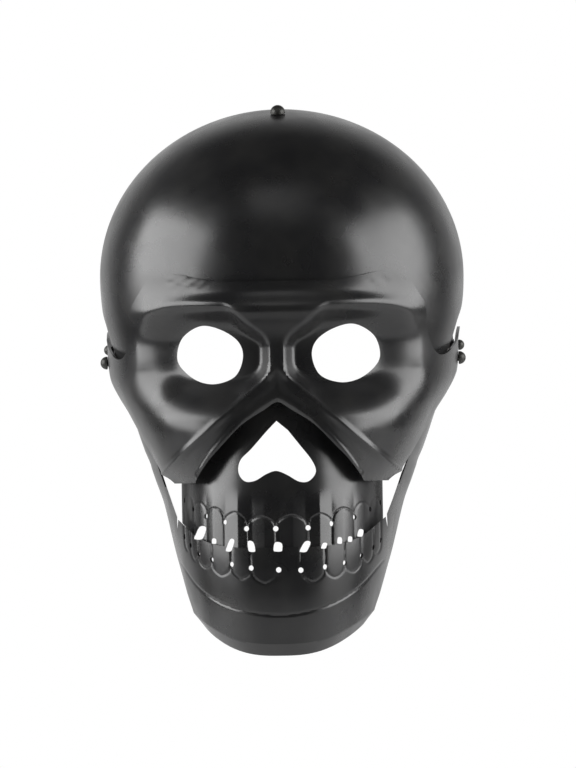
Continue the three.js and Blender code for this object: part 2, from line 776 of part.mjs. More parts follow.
// Outward direction of the curve round the back of the head
function rearNormal(point, half) {
  const power = headRound - 1;
  return new THREE.Vector3(
    Math.sign(point.x) * (Math.abs(point.x) / half) ** power / half,
    (point.y / headBack) ** power / headBack,
    0,
  ).normalize();
}
function tabDrill(side, y, z) {
  return drill(tabPoint(side, y, z, 4 * steel), tabPoint(side, y, z, -6 * steel), pinRadius + gap, 10);
}
function sideRivet(name, side, y, z, headRadius, held) {
  const geometry = rivet(headRadius, held);
  const normal = tabPoint(side, y, z, 1).sub(tabPoint(side, y, z, 0));
  geometry.applyQuaternion(
    new THREE.Quaternion().setFromUnitVectors(new THREE.Vector3(0, 1, 0), normal),
  );
  const seat = tabPoint(side, y, z, gap);
  geometry.translate(seat.x, seat.y, seat.z);
  return toMesh(name, toSolid(geometry), rivetSteel);
}
function crownRivet() {
  const geometry = rivet(crownHead, steel + leather + edgeSag + 5 * gap);
  const normal = crownPoint(1).sub(crownPoint(0));
  geometry.applyQuaternion(
    new THREE.Quaternion().setFromUnitVectors(new THREE.Vector3(0, 1, 0), normal),
  );
  const seat = crownPoint(gap);
  geometry.translate(seat.x, seat.y, seat.z);
  return toMesh('crown_rivet', toSolid(geometry), rivetSteel);
}

// Back strap: a band from rivet to rivet round the back of the head.
// It lies inside the temple tabs, which are narrowest at its lower edge
const strapHalf = facePlan(strapLift - strapWidth / 2).half - steel - 3 * gap;
// What lies level on the strap climbs with it, turned about the two strap rivets
const climb = new THREE.Matrix4()
  .makeTranslation(0, strapBack, strapLift)
  .multiply(new THREE.Matrix4().makeRotationX(THREE.MathUtils.degToRad(strapRise)))
  .multiply(new THREE.Matrix4().makeTranslation(0, -strapBack, -strapLift));
function backStrap() {
  const endShare = (strapBack - strapWidth / 2) / headBack;
  const endTurn = Math.acos(endShare ** (headRound / 2));
  const point = (u, v) => {
    const height = strapLift + strapWidth * (0.5 - v);
    return rearPoint(Math.sign(u) * strapHalf, endTurn * Math.abs(u), height).applyMatrix4(climb);
  };
  let strap = sheetSolid((u, v) => point(-u, v), evenColumns(-1, 1, 40), 1, leather);
  const endShape = new THREE.Shape();
  const halfStrap = strapWidth / 2;
  endShape.moveTo(strapBack, strapLift + halfStrap);
  endShape.absarc(strapBack, strapLift, halfStrap, Math.PI / 2, 1.5 * Math.PI, false);
  endShape.lineTo(1.5 * headBack, strapLift - halfStrap);
  endShape.lineTo(1.5 * headBack, strapLift + halfStrap);
  strap = strap.intersect(sideCutter(endShape, 6, climb));
  for (const side of [-1, 1]) strap = strap.subtract(tabDrill(side, strapBack, strapLift));
  return strap;
}
// A flat strap across the cap lies below its curve by this much at the strap's edges
const edgeSag = capRise * (1 - Math.sqrt(1 - (strapWidth / 2 / halfWidth) ** 2));
// Crown strap: from the crown rivet over the head and down inside the back strap
function crownStrap() {
  const inside = steel + 2 * gap + edgeSag;
  const rise = capRise - inside;
  const front = crownFront + strapWidth / 2;
  const frontTurn = Math.asin(front / capDepth);
  const reach = headBack * (1 - edgeSag / capRise) - leather - 2 * gap;
  const lap = (z) => new THREE.Vector3(0, reach, strapLift + z).applyMatrix4(climb);
  const lapTop = lap(strapWidth / 2);
  const lapLow = lap(-strapWidth / 2);
  const route = new THREE.CurvePath();
  const crown = capLevel + rise;
  const over = [1, 0.5, 0].map((share) => new THREE.Vector3(
    0,
    -(capDepth - inside) * Math.sin(share * frontTurn),
    capLevel + rise * Math.cos(share * frontTurn),
  ));
  const behind = [0.2, 0.4, 0.6, 0.8].map((share) => new THREE.Vector3(
    0,
    lapTop.y * Math.sin(share * Math.PI / 2),
    lapTop.z + (crown - lapTop.z) * Math.cos(share * Math.PI / 2),
  ));
  route.add(new THREE.CatmullRomCurve3([...over, ...behind, lapTop, lapLow], false, 'centripetal'));
  const point = (along, v) => {
    const place = route.getPoint(clamp((along + 1) / 2, 0, 1));
    return place.setX(strapWidth * (v - 0.5));
  };
  const strap = sheetSolid(point, evenColumns(-1, 1, 30), 1, leather);
  return strap.subtract(drill(crownPoint(2 * steel), crownPoint(-6 * steel), pinRadius + gap, 10));
}
// Buckle: a plain slide, an upright frame that the back strap passes through
function buckle() {
  const room = leather / 2 + gap + 0.4;
  const inHalf = strapWidth / 2 + gap;
  const frame = new THREE.Shape();
  const outX = room + buckleBar;
  const outZ = inHalf + buckleBar;
  frame.moveTo(-outX, -outZ);
  frame.lineTo(outX, -outZ);
  frame.lineTo(outX, outZ);
  frame.lineTo(-outX, outZ);
  const hole = new THREE.Path();
  hole.moveTo(-room, -inHalf);
  hole.lineTo(-room, inHalf);
  hole.lineTo(room, inHalf);
  hole.lineTo(room, -inHalf);
  frame.holes.push(hole);
  const thick = 1.6 * buckleBar;
  const geometry = new THREE.ExtrudeGeometry(frame, { depth: thick, bevelEnabled: false });
  geometry.translate(0, 0, -thick / 2);
  // The frame's own X becomes the direction out of the strap, its Y becomes +Z
  const turn = THREE.MathUtils.degToRad(buckleSide);
  const place = rearPoint(strapHalf, turn, strapLift);
  const out = rearNormal(place, strapHalf);
  const up = new THREE.Vector3(0, 0, 1);
  const along = out.clone().cross(up);
  place.addScaledVector(out, -leather / 2);
  const matrix = new THREE.Matrix4().makeBasis(out, up, along).setPosition(place);
  geometry.applyMatrix4(climb.clone().multiply(matrix));
  return toSolid(geometry);
}

// Shank lengths of the side rivets between head and closed end
const jawGrip = 2 * steel + 3 * gap + 0.8 * swingRoom;
const strapGrip = steel + leather + 9 * gap;

// The whole mask
const group = new THREE.Group();
group.add(toMesh('skull_cap', skullCap(), blackSteel));
group.add(toMesh('face_plate', facePlate(), blackSteel));
group.add(toMesh('upper_teeth', upperTeeth(), blackSteel));
group.add(toMesh('jaw', jaw(), blackSteel));
group.add(crownRivet());
for (const [name, side] of [['left', 1], ['right', -1]]) {
  group.add(sideRivet(`jaw_rivet_${name}`, side, 0, 0, jawHead, jawGrip));
  group.add(sideRivet(`strap_rivet_${name}`, side, strapBack, strapLift, strapHead, strapGrip));
}
group.add(toMesh('back_strap', backStrap(), brownLeather));
group.add(toMesh('crown_strap', crownStrap(), brownLeather));
group.add(toMesh('buckle', buckle(), rivetSteel));

export default group;
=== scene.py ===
"""Looks of the black steel skull mask: fine plates, rivets, straps, light and camera."""

import math

import bmesh
import bpy
import numpy as np
from mathutils import Matrix, Vector


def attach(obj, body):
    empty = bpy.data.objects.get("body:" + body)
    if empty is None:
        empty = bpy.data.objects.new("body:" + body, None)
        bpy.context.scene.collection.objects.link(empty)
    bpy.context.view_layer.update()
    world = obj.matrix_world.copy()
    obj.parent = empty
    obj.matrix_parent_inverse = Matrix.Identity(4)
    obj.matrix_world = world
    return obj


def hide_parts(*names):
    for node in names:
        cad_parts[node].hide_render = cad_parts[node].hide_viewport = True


bl_info = {
    "name": "Steel Skull Mask",
    "version": (1, 0, 0),
    "blender": (4, 5, 0),
    "location": "View3D > Sidebar > Mask",
    "description": "Builds a black steel skull mask with a hinged jaw and leather straps",
    "category": "Add Mesh",
}

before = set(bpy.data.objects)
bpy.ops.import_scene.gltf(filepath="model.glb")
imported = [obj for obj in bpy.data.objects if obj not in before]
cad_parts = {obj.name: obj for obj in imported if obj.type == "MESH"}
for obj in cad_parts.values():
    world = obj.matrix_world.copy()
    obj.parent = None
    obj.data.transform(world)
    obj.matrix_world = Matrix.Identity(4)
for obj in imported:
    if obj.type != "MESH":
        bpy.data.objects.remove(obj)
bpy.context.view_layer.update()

MM = 0.001

# Sizes of the mask in millimetres, the same as those of its solids
STEEL = 1.2
GAP = 0.3
HALF_WIDTH = 92.0
FACE_DEPTH = 100.0
FACE_HEIGHT = 150.0
CAP_LEVEL = 42.75
CAP_RISE = 84.4
CAP_FALL = 110.0
CAP_DEPTH = 95.0
BROW_SEAT = 4.0
BAND_DEPTH = 6.0
SOCKET_DEPTH = 9.0
BITE_GAP = 0.6
PLEAT_DEPTH = 1.1
TOOTH_HOLE = 1.35
CHIN_TURN = 9.0
ARM_END = 9.5
SWING_ROOM = 2.0
PIN_RADIUS = 2.0
STRAP_WIDTH = 21.5
LEATHER = 2.0
STRAP_BACK = 20.0
STRAP_LIFT = 6.5
STRAP_RISE = math.radians(20)
JAW_HEAD = 3.3
STRAP_HEAD = 2.7
CROWN_HEAD = 3.8
RIVET_RISE = 1.1
EDGE_SAG = CAP_RISE * (1 - math.sqrt(1 - (STRAP_WIDTH / 2 / HALF_WIDTH) ** 2))
HEAD_BACK = 102.0
HEAD_ROUND = 2.6
CROWN_FRONT = 24.0
TEETH_HALF = 0.55 * HALF_WIDTH
HOLE_LEVEL = 0.5 * FACE_HEIGHT

# Plan sections, from the top down.
# Columns: height as a share of FACE_HEIGHT, half width of HALF_WIDTH, depth of FACE_DEPTH, roundness
FACE_PLAN = [
    (0.313, 1.017, 0.966, 2.0),
    (0.240, 1.011, 0.998, 2.0),
    (0.187, 1.000, 1.030, 2.0),
    (0.133, 0.984, 1.015, 2.0),
    (0.067, 0.966, 0.995, 2.0),
    (0.000, 0.963, 0.995, 2.0),
    (-0.060, 0.948, 1.005, 2.0),
    (-0.120, 0.905, 1.025, 2.0),
    (-0.170, 0.864, 1.035, 2.0),
    (-0.253, 0.810, 1.050, 2.0),
    (-0.360, 0.750, 1.050, 2.0),
    (-0.420, 0.723, 1.045, 2.0),
]
TEETH_PLAN = [
    (-0.093, 0.587, 0.930, 2.4),
    (-0.200, 0.587, 0.950, 2.4),
    (-0.333, 0.587, 0.980, 2.5),
    (-0.467, 0.582, 1.000, 2.6),
    (-0.627, 0.576, 1.020, 2.6),
]
JAW_PLAN = [
    (-0.360, 0.729, 1.035, 2.0),
    (-0.400, 0.709, 1.035, 2.05),
    (-0.467, 0.670, 1.035, 2.2),
    (-0.533, 0.642, 1.040, 2.4),
    (-0.580, 0.625, 1.045, 2.5),
    (-0.647, 0.600, 1.047, 2.6),
    (-0.707, 0.576, 1.050, 2.6),
    (-0.787, 0.546, 1.045, 2.6),
    (-0.860, 0.515, 1.030, 2.6),
    (-0.950, 0.475, 1.000, 2.6),
]
ARM_INSET = [
    (0.070, 0.35),
    (0.000, 0.25),
    (-0.053, 0.85),
    (-0.093, 0.95),
    (-0.170, 0.50),
    (-0.253, 0.10),
    (-0.360, 0.00),
]


# Small helpers
def smooth(x, low, high):
    """Smooth step from 0 at low to 1 at high."""
    t = np.clip((np.asarray(x, float) - low) / (high - low), 0.0, 1.0)
    return t * t * (3 - 2 * t)


def mix(a, b, t):
    """Straight blend from a to b."""
    return a + (b - a) * t


def column(table, share, index):
    """Value of one column of a table at a height share, by a smooth curve through the rows."""
    rows = np.array(table, float)[::-1]
    key = rows[:, 0]
    value = rows[:, index]
    slope = np.empty_like(value)
    slope[1:-1] = (value[2:] - value[:-2]) / (key[2:] - key[:-2])
    slope[0] = (value[1] - value[0]) / (key[1] - key[0])
    slope[-1] = (value[-1] - value[-2]) / (key[-1] - key[-2])
    share = np.clip(np.asarray(share, float), key[0], key[-1])
    i = np.clip(np.searchsorted(key, share) - 1, 0, len(key) - 2)
    span = key[i + 1] - key[i]
    t = (share - key[i]) / span
    start = (1 + 2 * t) * (1 - t) ** 2 * value[i] + t * (1 - t) ** 2 * span * slope[i]
    end = t * t * (3 - 2 * t) * value[i + 1] - t * t * (1 - t) * span * slope[i + 1]
    return start + end


def cap_scale(z):
    """Size of the cap's level section at a height, as a share of its widest."""
    share = (z - CAP_LEVEL) / np.where(z < CAP_LEVEL, CAP_FALL, CAP_RISE)
    return np.sqrt(np.maximum(0.05, 1 - share ** 2))


def face_plan(z):
    """Half width, depth and roundness of the face plate's outer face at a height."""
    on_cap = smooth(z, 0.16 * FACE_HEIGHT, 0.27 * FACE_HEIGHT)
    offset = STEEL + GAP + 0.2
    share = z / FACE_HEIGHT
    half = mix(HALF_WIDTH * column(FACE_PLAN, share, 1), HALF_WIDTH * cap_scale(z) + offset, on_cap)
    depth = mix(FACE_DEPTH * column(FACE_PLAN, share, 2), CAP_DEPTH * cap_scale(z) + offset, on_cap)
    return half, depth, np.full_like(half, 2.0)


def teeth_plan(z):
    """Half width, depth and roundness of the upper-teeth plate at a height."""
    share = z / FACE_HEIGHT
    half = HALF_WIDTH * column(TEETH_PLAN, share, 1)
    return half, FACE_DEPTH * column(TEETH_PLAN, share, 2), column(TEETH_PLAN, share, 3)


def jaw_plan(z):
    """Half width, depth and roundness of the jaw at a height."""
    share = z / FACE_HEIGHT
    inset = STEEL + GAP + SWING_ROOM * column(ARM_INSET, share, 1)
    on_band = smooth(-share, 0.3, 0.4)
    arm = face_plan(np.maximum(z, -0.42 * FACE_HEIGHT))[0] - inset
    half = mix(arm, HALF_WIDTH * column(JAW_PLAN, share, 1), on_band)
    return half, FACE_DEPTH * column(JAW_PLAN, share, 2), column(JAW_PLAN, share, 3)


def plan_depth(plan, x):
    """How far in front of the hinge axis a plan lies at a sideways distance."""
    half, depth, roundness = plan
    share = np.clip(np.abs(x) / half, 0, 1)
    return depth * (1 - share ** roundness) ** (1 / roundness)


def plan_points(plan, angle, z):
    """Points of a plan at angles from straight ahead, with the strap's curve behind the axis."""
    half, depth, roundness = plan
    side = np.sign(angle)
    turn = np.abs(angle)
    power = 2 / roundness
    ahead = turn <= math.pi / 2
    front_turn = np.minimum(turn, math.pi / 2)
    back_turn = np.clip(math.pi - turn, 0, math.pi / 2)
    back_power = 2 / HEAD_ROUND
    x = np.where(ahead, np.sin(front_turn) ** power, np.sin(back_turn) ** back_power)
    y = np.where(
        ahead,
        -depth * np.maximum(0, np.cos(front_turn)) ** power,
        HEAD_BACK * np.maximum(0, np.cos(back_turn)) ** back_power,
    )
    return np.stack([side * half * x, y, z], axis=-1)


def catmull(points, steps, closed=False):
    """Smooth curve through a few points, as an array of points."""
    p = np.array(points, float)
    if closed:
        p = np.vstack([p[-1], p, p[0], p[1]])
    else:
        p = np.vstack([2 * p[0] - p[1], p, 2 * p[-1] - p[-2]])
    out = []
    for a, b, c, d in zip(p[:-3], p[1:-2], p[2:-1], p[3:]):
        for k in range(steps):
            t = k / steps
            out.append(0.5 * (2 * b + (c - a) * t + (2 * a - 5 * b + 4 * c - d) * t * t
                              + (3 * b - a - 3 * c + d) * t ** 3))
    if not closed:
        out.append(p[-2])
    return np.array(out)


def waves(p, size, seed):
    """Soft uneven waves from -1 to 1 over points, made of a few sines of a given length."""
    random = np.random.default_rng(seed)
    total = np.zeros(p.shape[:-1])
    for _ in range(6):
        direction = random.normal(size=3)
        direction /= np.linalg.norm(direction)
        total += np.sin(p @ direction * (2 * math.pi / (size * random.uniform(0.7, 1.5)))
                        + random.uniform(0, 6.28))
    return total / 3


# Meshes
def new_object(name, mesh):
    """Adds a mesh to the scene as an object at the origin."""
    obj = bpy.data.objects.new(name, mesh)
    bpy.context.scene.collection.objects.link(obj)
    return obj


def mesh_from(name, points, faces):
    """A mesh object from points in millimetres."""
    mesh = bpy.data.meshes.new(name)
    mesh.from_pydata((np.asarray(points) * MM).tolist(), [], [list(f) for f in faces])
    mesh.update()
    return new_object(name, mesh)


def sheet(name, outer, thickness):
    """Closed sheet from a grid of outer points, thickened inwards along its normals."""
    along_u = np.gradient(outer, axis=1)
    along_v = np.gradient(outer, axis=0)
    normal = np.cross(along_v, along_u)
    normal /= np.linalg.norm(normal, axis=-1, keepdims=True) + 1e-12
    inner = outer - normal * thickness
    rows, across = outer.shape[:2]
    points = np.concatenate([outer.reshape(-1, 3), inner.reshape(-1, 3)])
    index = np.arange(rows * across).reshape(rows, across)
    back = index + rows * across
    a, b, c, d = index[:-1, :-1], index[1:, :-1], index[1:, 1:], index[:-1, 1:]
    a2, b2, c2, d2 = back[:-1, :-1], back[1:, :-1], back[1:, 1:], back[:-1, 1:]
    top, bottom = index[0], index[-1]
    left, right = index[:, 0], index[:, -1]
    count = rows * across
    parts = [
        np.stack([a, b, c, d], -1).reshape(-1, 4),
        np.stack([a2, d2, c2, b2], -1).reshape(-1, 4),
        np.stack([top[:-1], top[1:], top[1:] + count, top[:-1] + count], -1),
        np.stack([bottom[1:], bottom[:-1], bottom[:-1] + count, bottom[1:] + count], -1),
        np.stack([left[1:], left[:-1], left[:-1] + count, left[1:] + count], -1),
        np.stack([right[:-1], right[1:], right[1:] + count, right[:-1] + count], -1),
    ]
    return mesh_from(name, points, np.concatenate(parts))


def prism(outlines, place):
    """Closed prisms for cutting: place(outline, end) gives each end's points."""
    points = []
    faces = []
    for outline in outlines:
        start = len(points)
        n = len(outline)
        area = sum(a[0] * b[1] - b[0] * a[1] for a, b in zip(outline, np.roll(outline, -1, axis=0)))
        ring = outline if area > 0 else outline[::-1]
        points += [place(p, 0) for p in ring] + [place(p, 1) for p in ring]
        faces.append([start + i for i in range(n)][::-1])
        faces.append([start + n + i for i in range(n)])
        for i in range(n):
            j = (i + 1) % n
            faces.append([start + i, start + j, start + n + j, start + n + i])
    return mesh_from("cutter", np.array(points), faces)


def front_prism(outlines, near, far):
    """Prisms along Y from outlines of (x, z)."""
    return prism(outlines, lambda p, end: (p[0], far if end == 0 else near, p[1]))


def side_prism(outlines):
    """Prisms along X from outlines of (y, z), over the whole width."""
    reach = 1.6 * HALF_WIDTH
    return prism(outlines, lambda p, end: (-reach if end == 0 else reach, p[0], p[1]))


def repeat_tree():
    """Geometry Nodes tree that sets a model at every point, turned and sized by its attributes."""
    tree = bpy.data.node_groups.get("repeat_model")
    if tree:
        return tree
    tree = bpy.data.node_groups.new("repeat_model", "GeometryNodeTree")
    tree.is_modifier = True
    face = tree.interface
    face.new_socket(name="Geometry", in_out="INPUT", socket_type="NodeSocketGeometry")
    face.new_socket(name="Model", in_out="INPUT", socket_type="NodeSocketObject")
    face.new_socket(name="Material", in_out="INPUT", socket_type="NodeSocketMaterial")
    face.new_socket(name="Geometry", in_out="OUTPUT", socket_type="NodeSocketGeometry")
    nodes = tree.nodes
    links = tree.links
    given = nodes.new("NodeGroupInput")
    result = nodes.new("NodeGroupOutput")
    model = nodes.new("GeometryNodeObjectInfo")
    aim = nodes.new("GeometryNodeInputNamedAttribute")
    aim.data_type = "FLOAT_VECTOR"
    aim.inputs["Name"].default_value = "aim"
    size = nodes.new("GeometryNodeInputNamedAttribute")
    size.data_type = "FLOAT_VECTOR"
    size.inputs["Name"].default_value = "size"
    turn = nodes.new("FunctionNodeAlignRotationToVector")
    turn.axis = "Z"
    place = nodes.new("GeometryNodeInstanceOnPoints")
    real = nodes.new("GeometryNodeRealizeInstances")
    paint = nodes.new("GeometryNodeSetMaterial")
    links.new(given.outputs["Model"], model.inputs["Object"])
    links.new(aim.outputs["Attribute"], turn.inputs["Vector"])
    links.new(given.outputs["Geometry"], place.inputs["Points"])
    links.new(model.outputs["Geometry"], place.inputs["Instance"])
    links.new(turn.outputs["Rotation"], place.inputs["Rotation"])
    links.new(size.outputs["Attribute"], place.inputs["Scale"])
    links.new(place.outputs["Instances"], real.inputs["Geometry"])
    links.new(real.outputs["Geometry"], paint.inputs["Geometry"])
    links.new(given.outputs["Material"], paint.inputs["Material"])
    links.new(paint.outputs["Geometry"], result.inputs["Geometry"])
    return tree


def repeat(name, model, places, material=None):
    """Sets a model at each place, given as (point, direction, size), and bakes the result."""
    obj = mesh_from(name, [p for p, _, _ in places], [])
    mesh = obj.data
    for key, values in (("aim", [d for _, d, _ in places]), ("size", [s for _, _, s in places])):
        attribute = mesh.attributes.new(key, "FLOAT_VECTOR", "POINT")
        attribute.data.foreach_set("vector", np.array(values, float).ravel())
    modifier = obj.modifiers.new("repeat", "NODES")
    tree = repeat_tree()
    given = {"Model": model, "Material": material}
    for item in tree.interface.items_tree:
        if item.in_out == "INPUT" and item.name in given:
            modifier[item.identifier] = given[item.name]
    modifier.node_group = tree
    for item in tree.interface.items_tree:
        if item.in_out == "INPUT" and item.name in given:
            modifier[item.identifier] = given[item.name]
    bake(obj)
    old = model.data
    bpy.data.objects.remove(model)
    bpy.data.meshes.remove(old)
    return obj


def lathe(name, profile, sides):
    """Closed turned shape round Z from (radius, height) rows, its ends closed by flat caps."""
    points = []
    faces = []
    for radius, height in profile:
        for k in range(sides):
            angle = 2 * math.pi * k / sides
            points.append((radius * math.cos(angle), radius * math.sin(angle), height))
    for j in range(len(profile) - 1):
        for k in range(sides):
            m = (k + 1) % sides
            faces.append([j * sides + k, j * sides + m, (j + 1) * sides + m, (j + 1) * sides + k])
    faces.append(list(range(sides))[::-1])
    faces.append([(len(profile) - 1) * sides + k for k in range(sides)])
    return mesh_from(name, points, faces)


def drills(lines, radius, sides=24):
    """Round cutters along short lines given as (from, to)."""
    rod = lathe("rod", [(1, -0.5), (1, 0.5)], sides)
    places = []
    for start, end in lines:
        axis = Vector(end) - Vector(start)
        places.append((tuple((Vector(start) + Vector(end)) / 2), tuple(axis.normalized()),
                       (radius, radius, axis.length)))
    return repeat("drills", rod, places)


def cut(obj, cutter, operation="DIFFERENCE"):
    """Cuts or trims an object by another and removes the cutter."""
    modifier = obj.modifiers.new("cut", "BOOLEAN")
    modifier.solver = "MANIFOLD"
    modifier.operation = operation
    modifier.object = cutter
    bake(obj)
    mesh = cutter.data
    bpy.data.objects.remove(cutter)
    bpy.data.meshes.remove(mesh)


def bake(obj):
    """Turns an object's modifiers into its own mesh."""
    graph = bpy.context.evaluated_depsgraph_get()
    graph.update()
    mesh = bpy.data.meshes.new_from_object(obj.evaluated_get(graph), depsgraph=graph)
    old = obj.data
    obj.modifiers.clear()
    obj.data = mesh
    bpy.data.meshes.remove(old)


def finish_piece(obj, node_names, body, material, angle=32):
    """Shades a piece, gives it its material and lets it stand for its nodes."""
    mesh = obj.data
    mesh.shade_smooth()
    mesh.set_sharp_from_angle(angle=math.radians(angle))
    mesh.materials.clear()
    mesh.materials.append(material)
    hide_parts(*node_names)
    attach(obj, body)
    return obj


# Lines of the face, seen from the front
CREASE_TOP = -0.02 * FACE_HEIGHT
CREASE_SLOPE = 0.9
CHEEK_BOTTOM = -0.414 * FACE_HEIGHT
BAND_EDGE = [
    (0.000, -0.140),
    (0.073, -0.165),
    (0.199, -0.215),
    (0.314, -0.287),
    (0.383, -0.333),
    (0.443, -0.385),
    (0.460, -0.407),
]
BROW_EDGE = [
    (0.00, 0.265),
    (0.30, 0.265),
    (0.44, 0.277),
    (0.54, 0.290),
    (0.62, 0.290),
    (0.70, 0.270),
]
EYE_HALF_WIDTH = 17.1
EYE_HALF_HEIGHT = 14.7
EYE_SIDE = 34.2
EYE_HEIGHT = 3.2
EYE_OUTLINE = [
    (-0.98, -0.02),
    (-0.80, 0.60),
    (-0.25, 0.98),
    (0.35, 0.84),
    (0.85, 0.44),
    (0.99, -0.10),
    (0.76, -0.74),
    (0.18, -1.00),
    (-0.38, -0.88),
    (-0.84, -0.46),
]
SOCKET_SIDE = 36.0
SOCKET_HEIGHT = 2.5
SOCKET_HALF_WIDTH = 32.5
SOCKET_HALF_HEIGHT = 25.0
SOCKET_ROUND = 3.4
CAP_REAR = [
    (0.085, 1.10),
    (0.085, 0.30),
    (0.060, 0.00),
    (-0.020, -0.17),
    (-0.150, -0.28),
    (-0.200, -0.42),
    (-0.240, -0.49),
    (-0.320, -0.51),
    (-0.420, -0.48),
    (-0.520, -0.42),
]
PLATE_SIDE = [
    (-0.76, 0.310),
    (-0.70, 0.278),
    (-0.66, 0.245),
    (-0.62, 0.195),
    (-0.58, 0.140),
    (-0.53, 0.075),
    (-0.46, 0.020),
    (-0.36, 0.012),
    (-0.22, 0.035),
    (-0.08, 0.062),
    (0.04, 0.088),
    (0.20, 0.106),
]
PLATE_UNDER = [
    (0.20, -0.018),
    (0.08, -0.040),
    (-0.05, -0.062),
    (-0.14, -0.118),
    (-0.24, -0.185),
    (-0.35, -0.265),
    (-0.47, -0.352),
    (-0.56, -0.412),
]


def band_edge(x):
    """Height of the V band's lower edge at a sideways distance."""
    rows = np.array(BAND_EDGE)
    return FACE_HEIGHT * np.interp(np.abs(x) / HALF_WIDTH, rows[:, 0], rows[:, 1])


def crease_line(x):
    """Height of the V crease at a sideways distance."""
    return CREASE_TOP - CREASE_SLOPE * np.abs(x)


def face_relief(x, z):
    """How far the face plate stands in front of its plain plan."""
    across = np.abs(np.abs(x) - SOCKET_SIDE) / SOCKET_HALF_WIDTH
    up = np.abs(z - SOCKET_HEIGHT) / SOCKET_HALF_HEIGHT
    from_eye = (across ** SOCKET_ROUND + up ** SOCKET_ROUND) ** (1 / SOCKET_ROUND)
    toward_nose = smooth(SOCKET_SIDE - np.abs(x), 8, 26)
    from_eye = from_eye + 0.3 * toward_nose * smooth(z, 6, 26)
    lower = smooth(SOCKET_HEIGHT - z, 2, 22)
    start = mix(mix(0.55, 0.35, lower), 0.80, toward_nose * (1 - smooth(z, 6, 20)) * (1 - lower))
    end = mix(1.12, 1.30, lower)
    end = mix(end, 1.03, toward_nose)
    socket = -SOCKET_DEPTH * (1 - smooth(from_eye, start, end))
    crease = crease_line(x)
    below = np.clip((crease - z) / np.maximum(4, crease - band_edge(x)), 0, 1)
    lean = BAND_DEPTH * (1 - 0.5 * np.clip(np.abs(x) / (0.46 * HALF_WIDTH), 0, 1))
    return socket - lean * below


def crown_point(outside):
    """A point over the crown rivet, at a distance outside the cap."""
    tilt = math.acos(CROWN_FRONT / CAP_DEPTH)
    surface = Vector((0, -CROWN_FRONT, CAP_LEVEL + CAP_RISE * math.sin(tilt)))
    normal = Vector((0, -math.cos(tilt) / CAP_DEPTH, math.sin(tilt) / CAP_RISE)).normalized()
    return surface + normal * outside


def rear_normal(x, y, half):
    """Outward direction of the curve round the back of the head."""
    power = HEAD_ROUND - 1
    side = math.copysign((abs(x) / half) ** power / half, x)
    return Vector((side, (y / HEAD_BACK) ** power / HEAD_BACK, 0)).normalized()


def tab_point(side, y, z, outside):
    """A point over the temple tab, at a distance outside its surface."""
    half = float(face_plan(np.array(z))[0])
    x = side * half * (1 - (y / HEAD_BACK) ** HEAD_ROUND) ** (1 / HEAD_ROUND)
    return Vector((x, y, z)) + rear_normal(x, y, half) * outside


def tab_lines(y, z):
    """Lines through both temple tabs, for drilling."""
    return [(tab_point(s, y, z, 4 * STEEL), tab_point(s, y, z, -6 * STEEL)) for s in (-1, 1)]


FAR = -1.5 * FACE_DEPTH

# Fine relief of the plates in millimetres
CREASE_LIP = 0.9
CREASE_SPREAD = 3.2
ROLL_HEIGHT = 1.3
ROLL_ABOVE = 2.6
ROLL_SPREAD = 2.4
CHEEK_ROUND = 2.7


def make_cap(material):
    """The half dome over the forehead and crown."""
    reach = math.pi / 2 + 0.2
    angle, v = np.meshgrid(np.linspace(-reach, reach, 181), np.linspace(0.02, 1, 121))
    tilt = mix(math.pi / 2, -0.62, v)
    height = CAP_LEVEL + CAP_RISE * np.sin(tilt)
    around = np.where(tilt < 0, cap_scale(height), np.cos(tilt))
    outer = np.stack([
        HALF_WIDTH * np.sin(angle) * around,
        -CAP_DEPTH * np.cos(angle) * around,
        height,
    ], axis=-1)
    outer *= (1 + 0.0009 * waves(outer, 55, 3))[..., None]
    obj = sheet("skull_cap_steel", outer, STEEL)
    rear = [(y * CAP_DEPTH, CAP_LEVEL + z * CAP_RISE) for y, z in CAP_REAR]
    rear = list(map(tuple, catmull(rear, 5)))
    outline = [(FAR, 1.2 * CAP_RISE + CAP_LEVEL), *rear, (FAR, rear[-1][1])]
    cut(obj, side_prism([outline]), "INTERSECT")
    seat = BROW_SEAT / FACE_HEIGHT
    edge = [
        (x * HALF_WIDTH - BROW_SEAT * float(smooth(x, 0.3, 0.6)), (z - seat) * FACE_HEIGHT)
        for x, z in BROW_EDGE
    ]
    edge += [(edge[-1][0] + 6, 0.12 * FACE_HEIGHT), (edge[-1][0] + 9, -0.3 * FACE_HEIGHT)]
    opening = [(-x, z) for x, z in edge[::-1]] + edge[1:]
    cut(obj, front_prism([opening], FAR, -0.2 * CAP_DEPTH))
    cut(obj, drills([(crown_point(2 * STEEL), crown_point(-3 * STEEL))], PIN_RADIUS + GAP))
    return finish_piece(obj, ["skull_cap"], "mask", material)


def cheek_plan(z):
    """The face plate's plan with flatter cheeks, kept where its rear edge shows from the front."""
    half, depth, roundness = face_plan(z)
    rows = np.array(PLATE_UNDER)[::-1]
    edge = np.interp(z / FACE_HEIGHT, rows[:, 1], rows[:, 0]) * FACE_DEPTH
    share = np.clip(-edge / depth, 0, 0.9)
    flat = mix(2.0, CHEEK_ROUND, smooth(-z, 4, 36))
    side = half * np.sqrt(1 - share ** 2)
    return side / (1 - share ** flat) ** (1 / flat), depth, flat


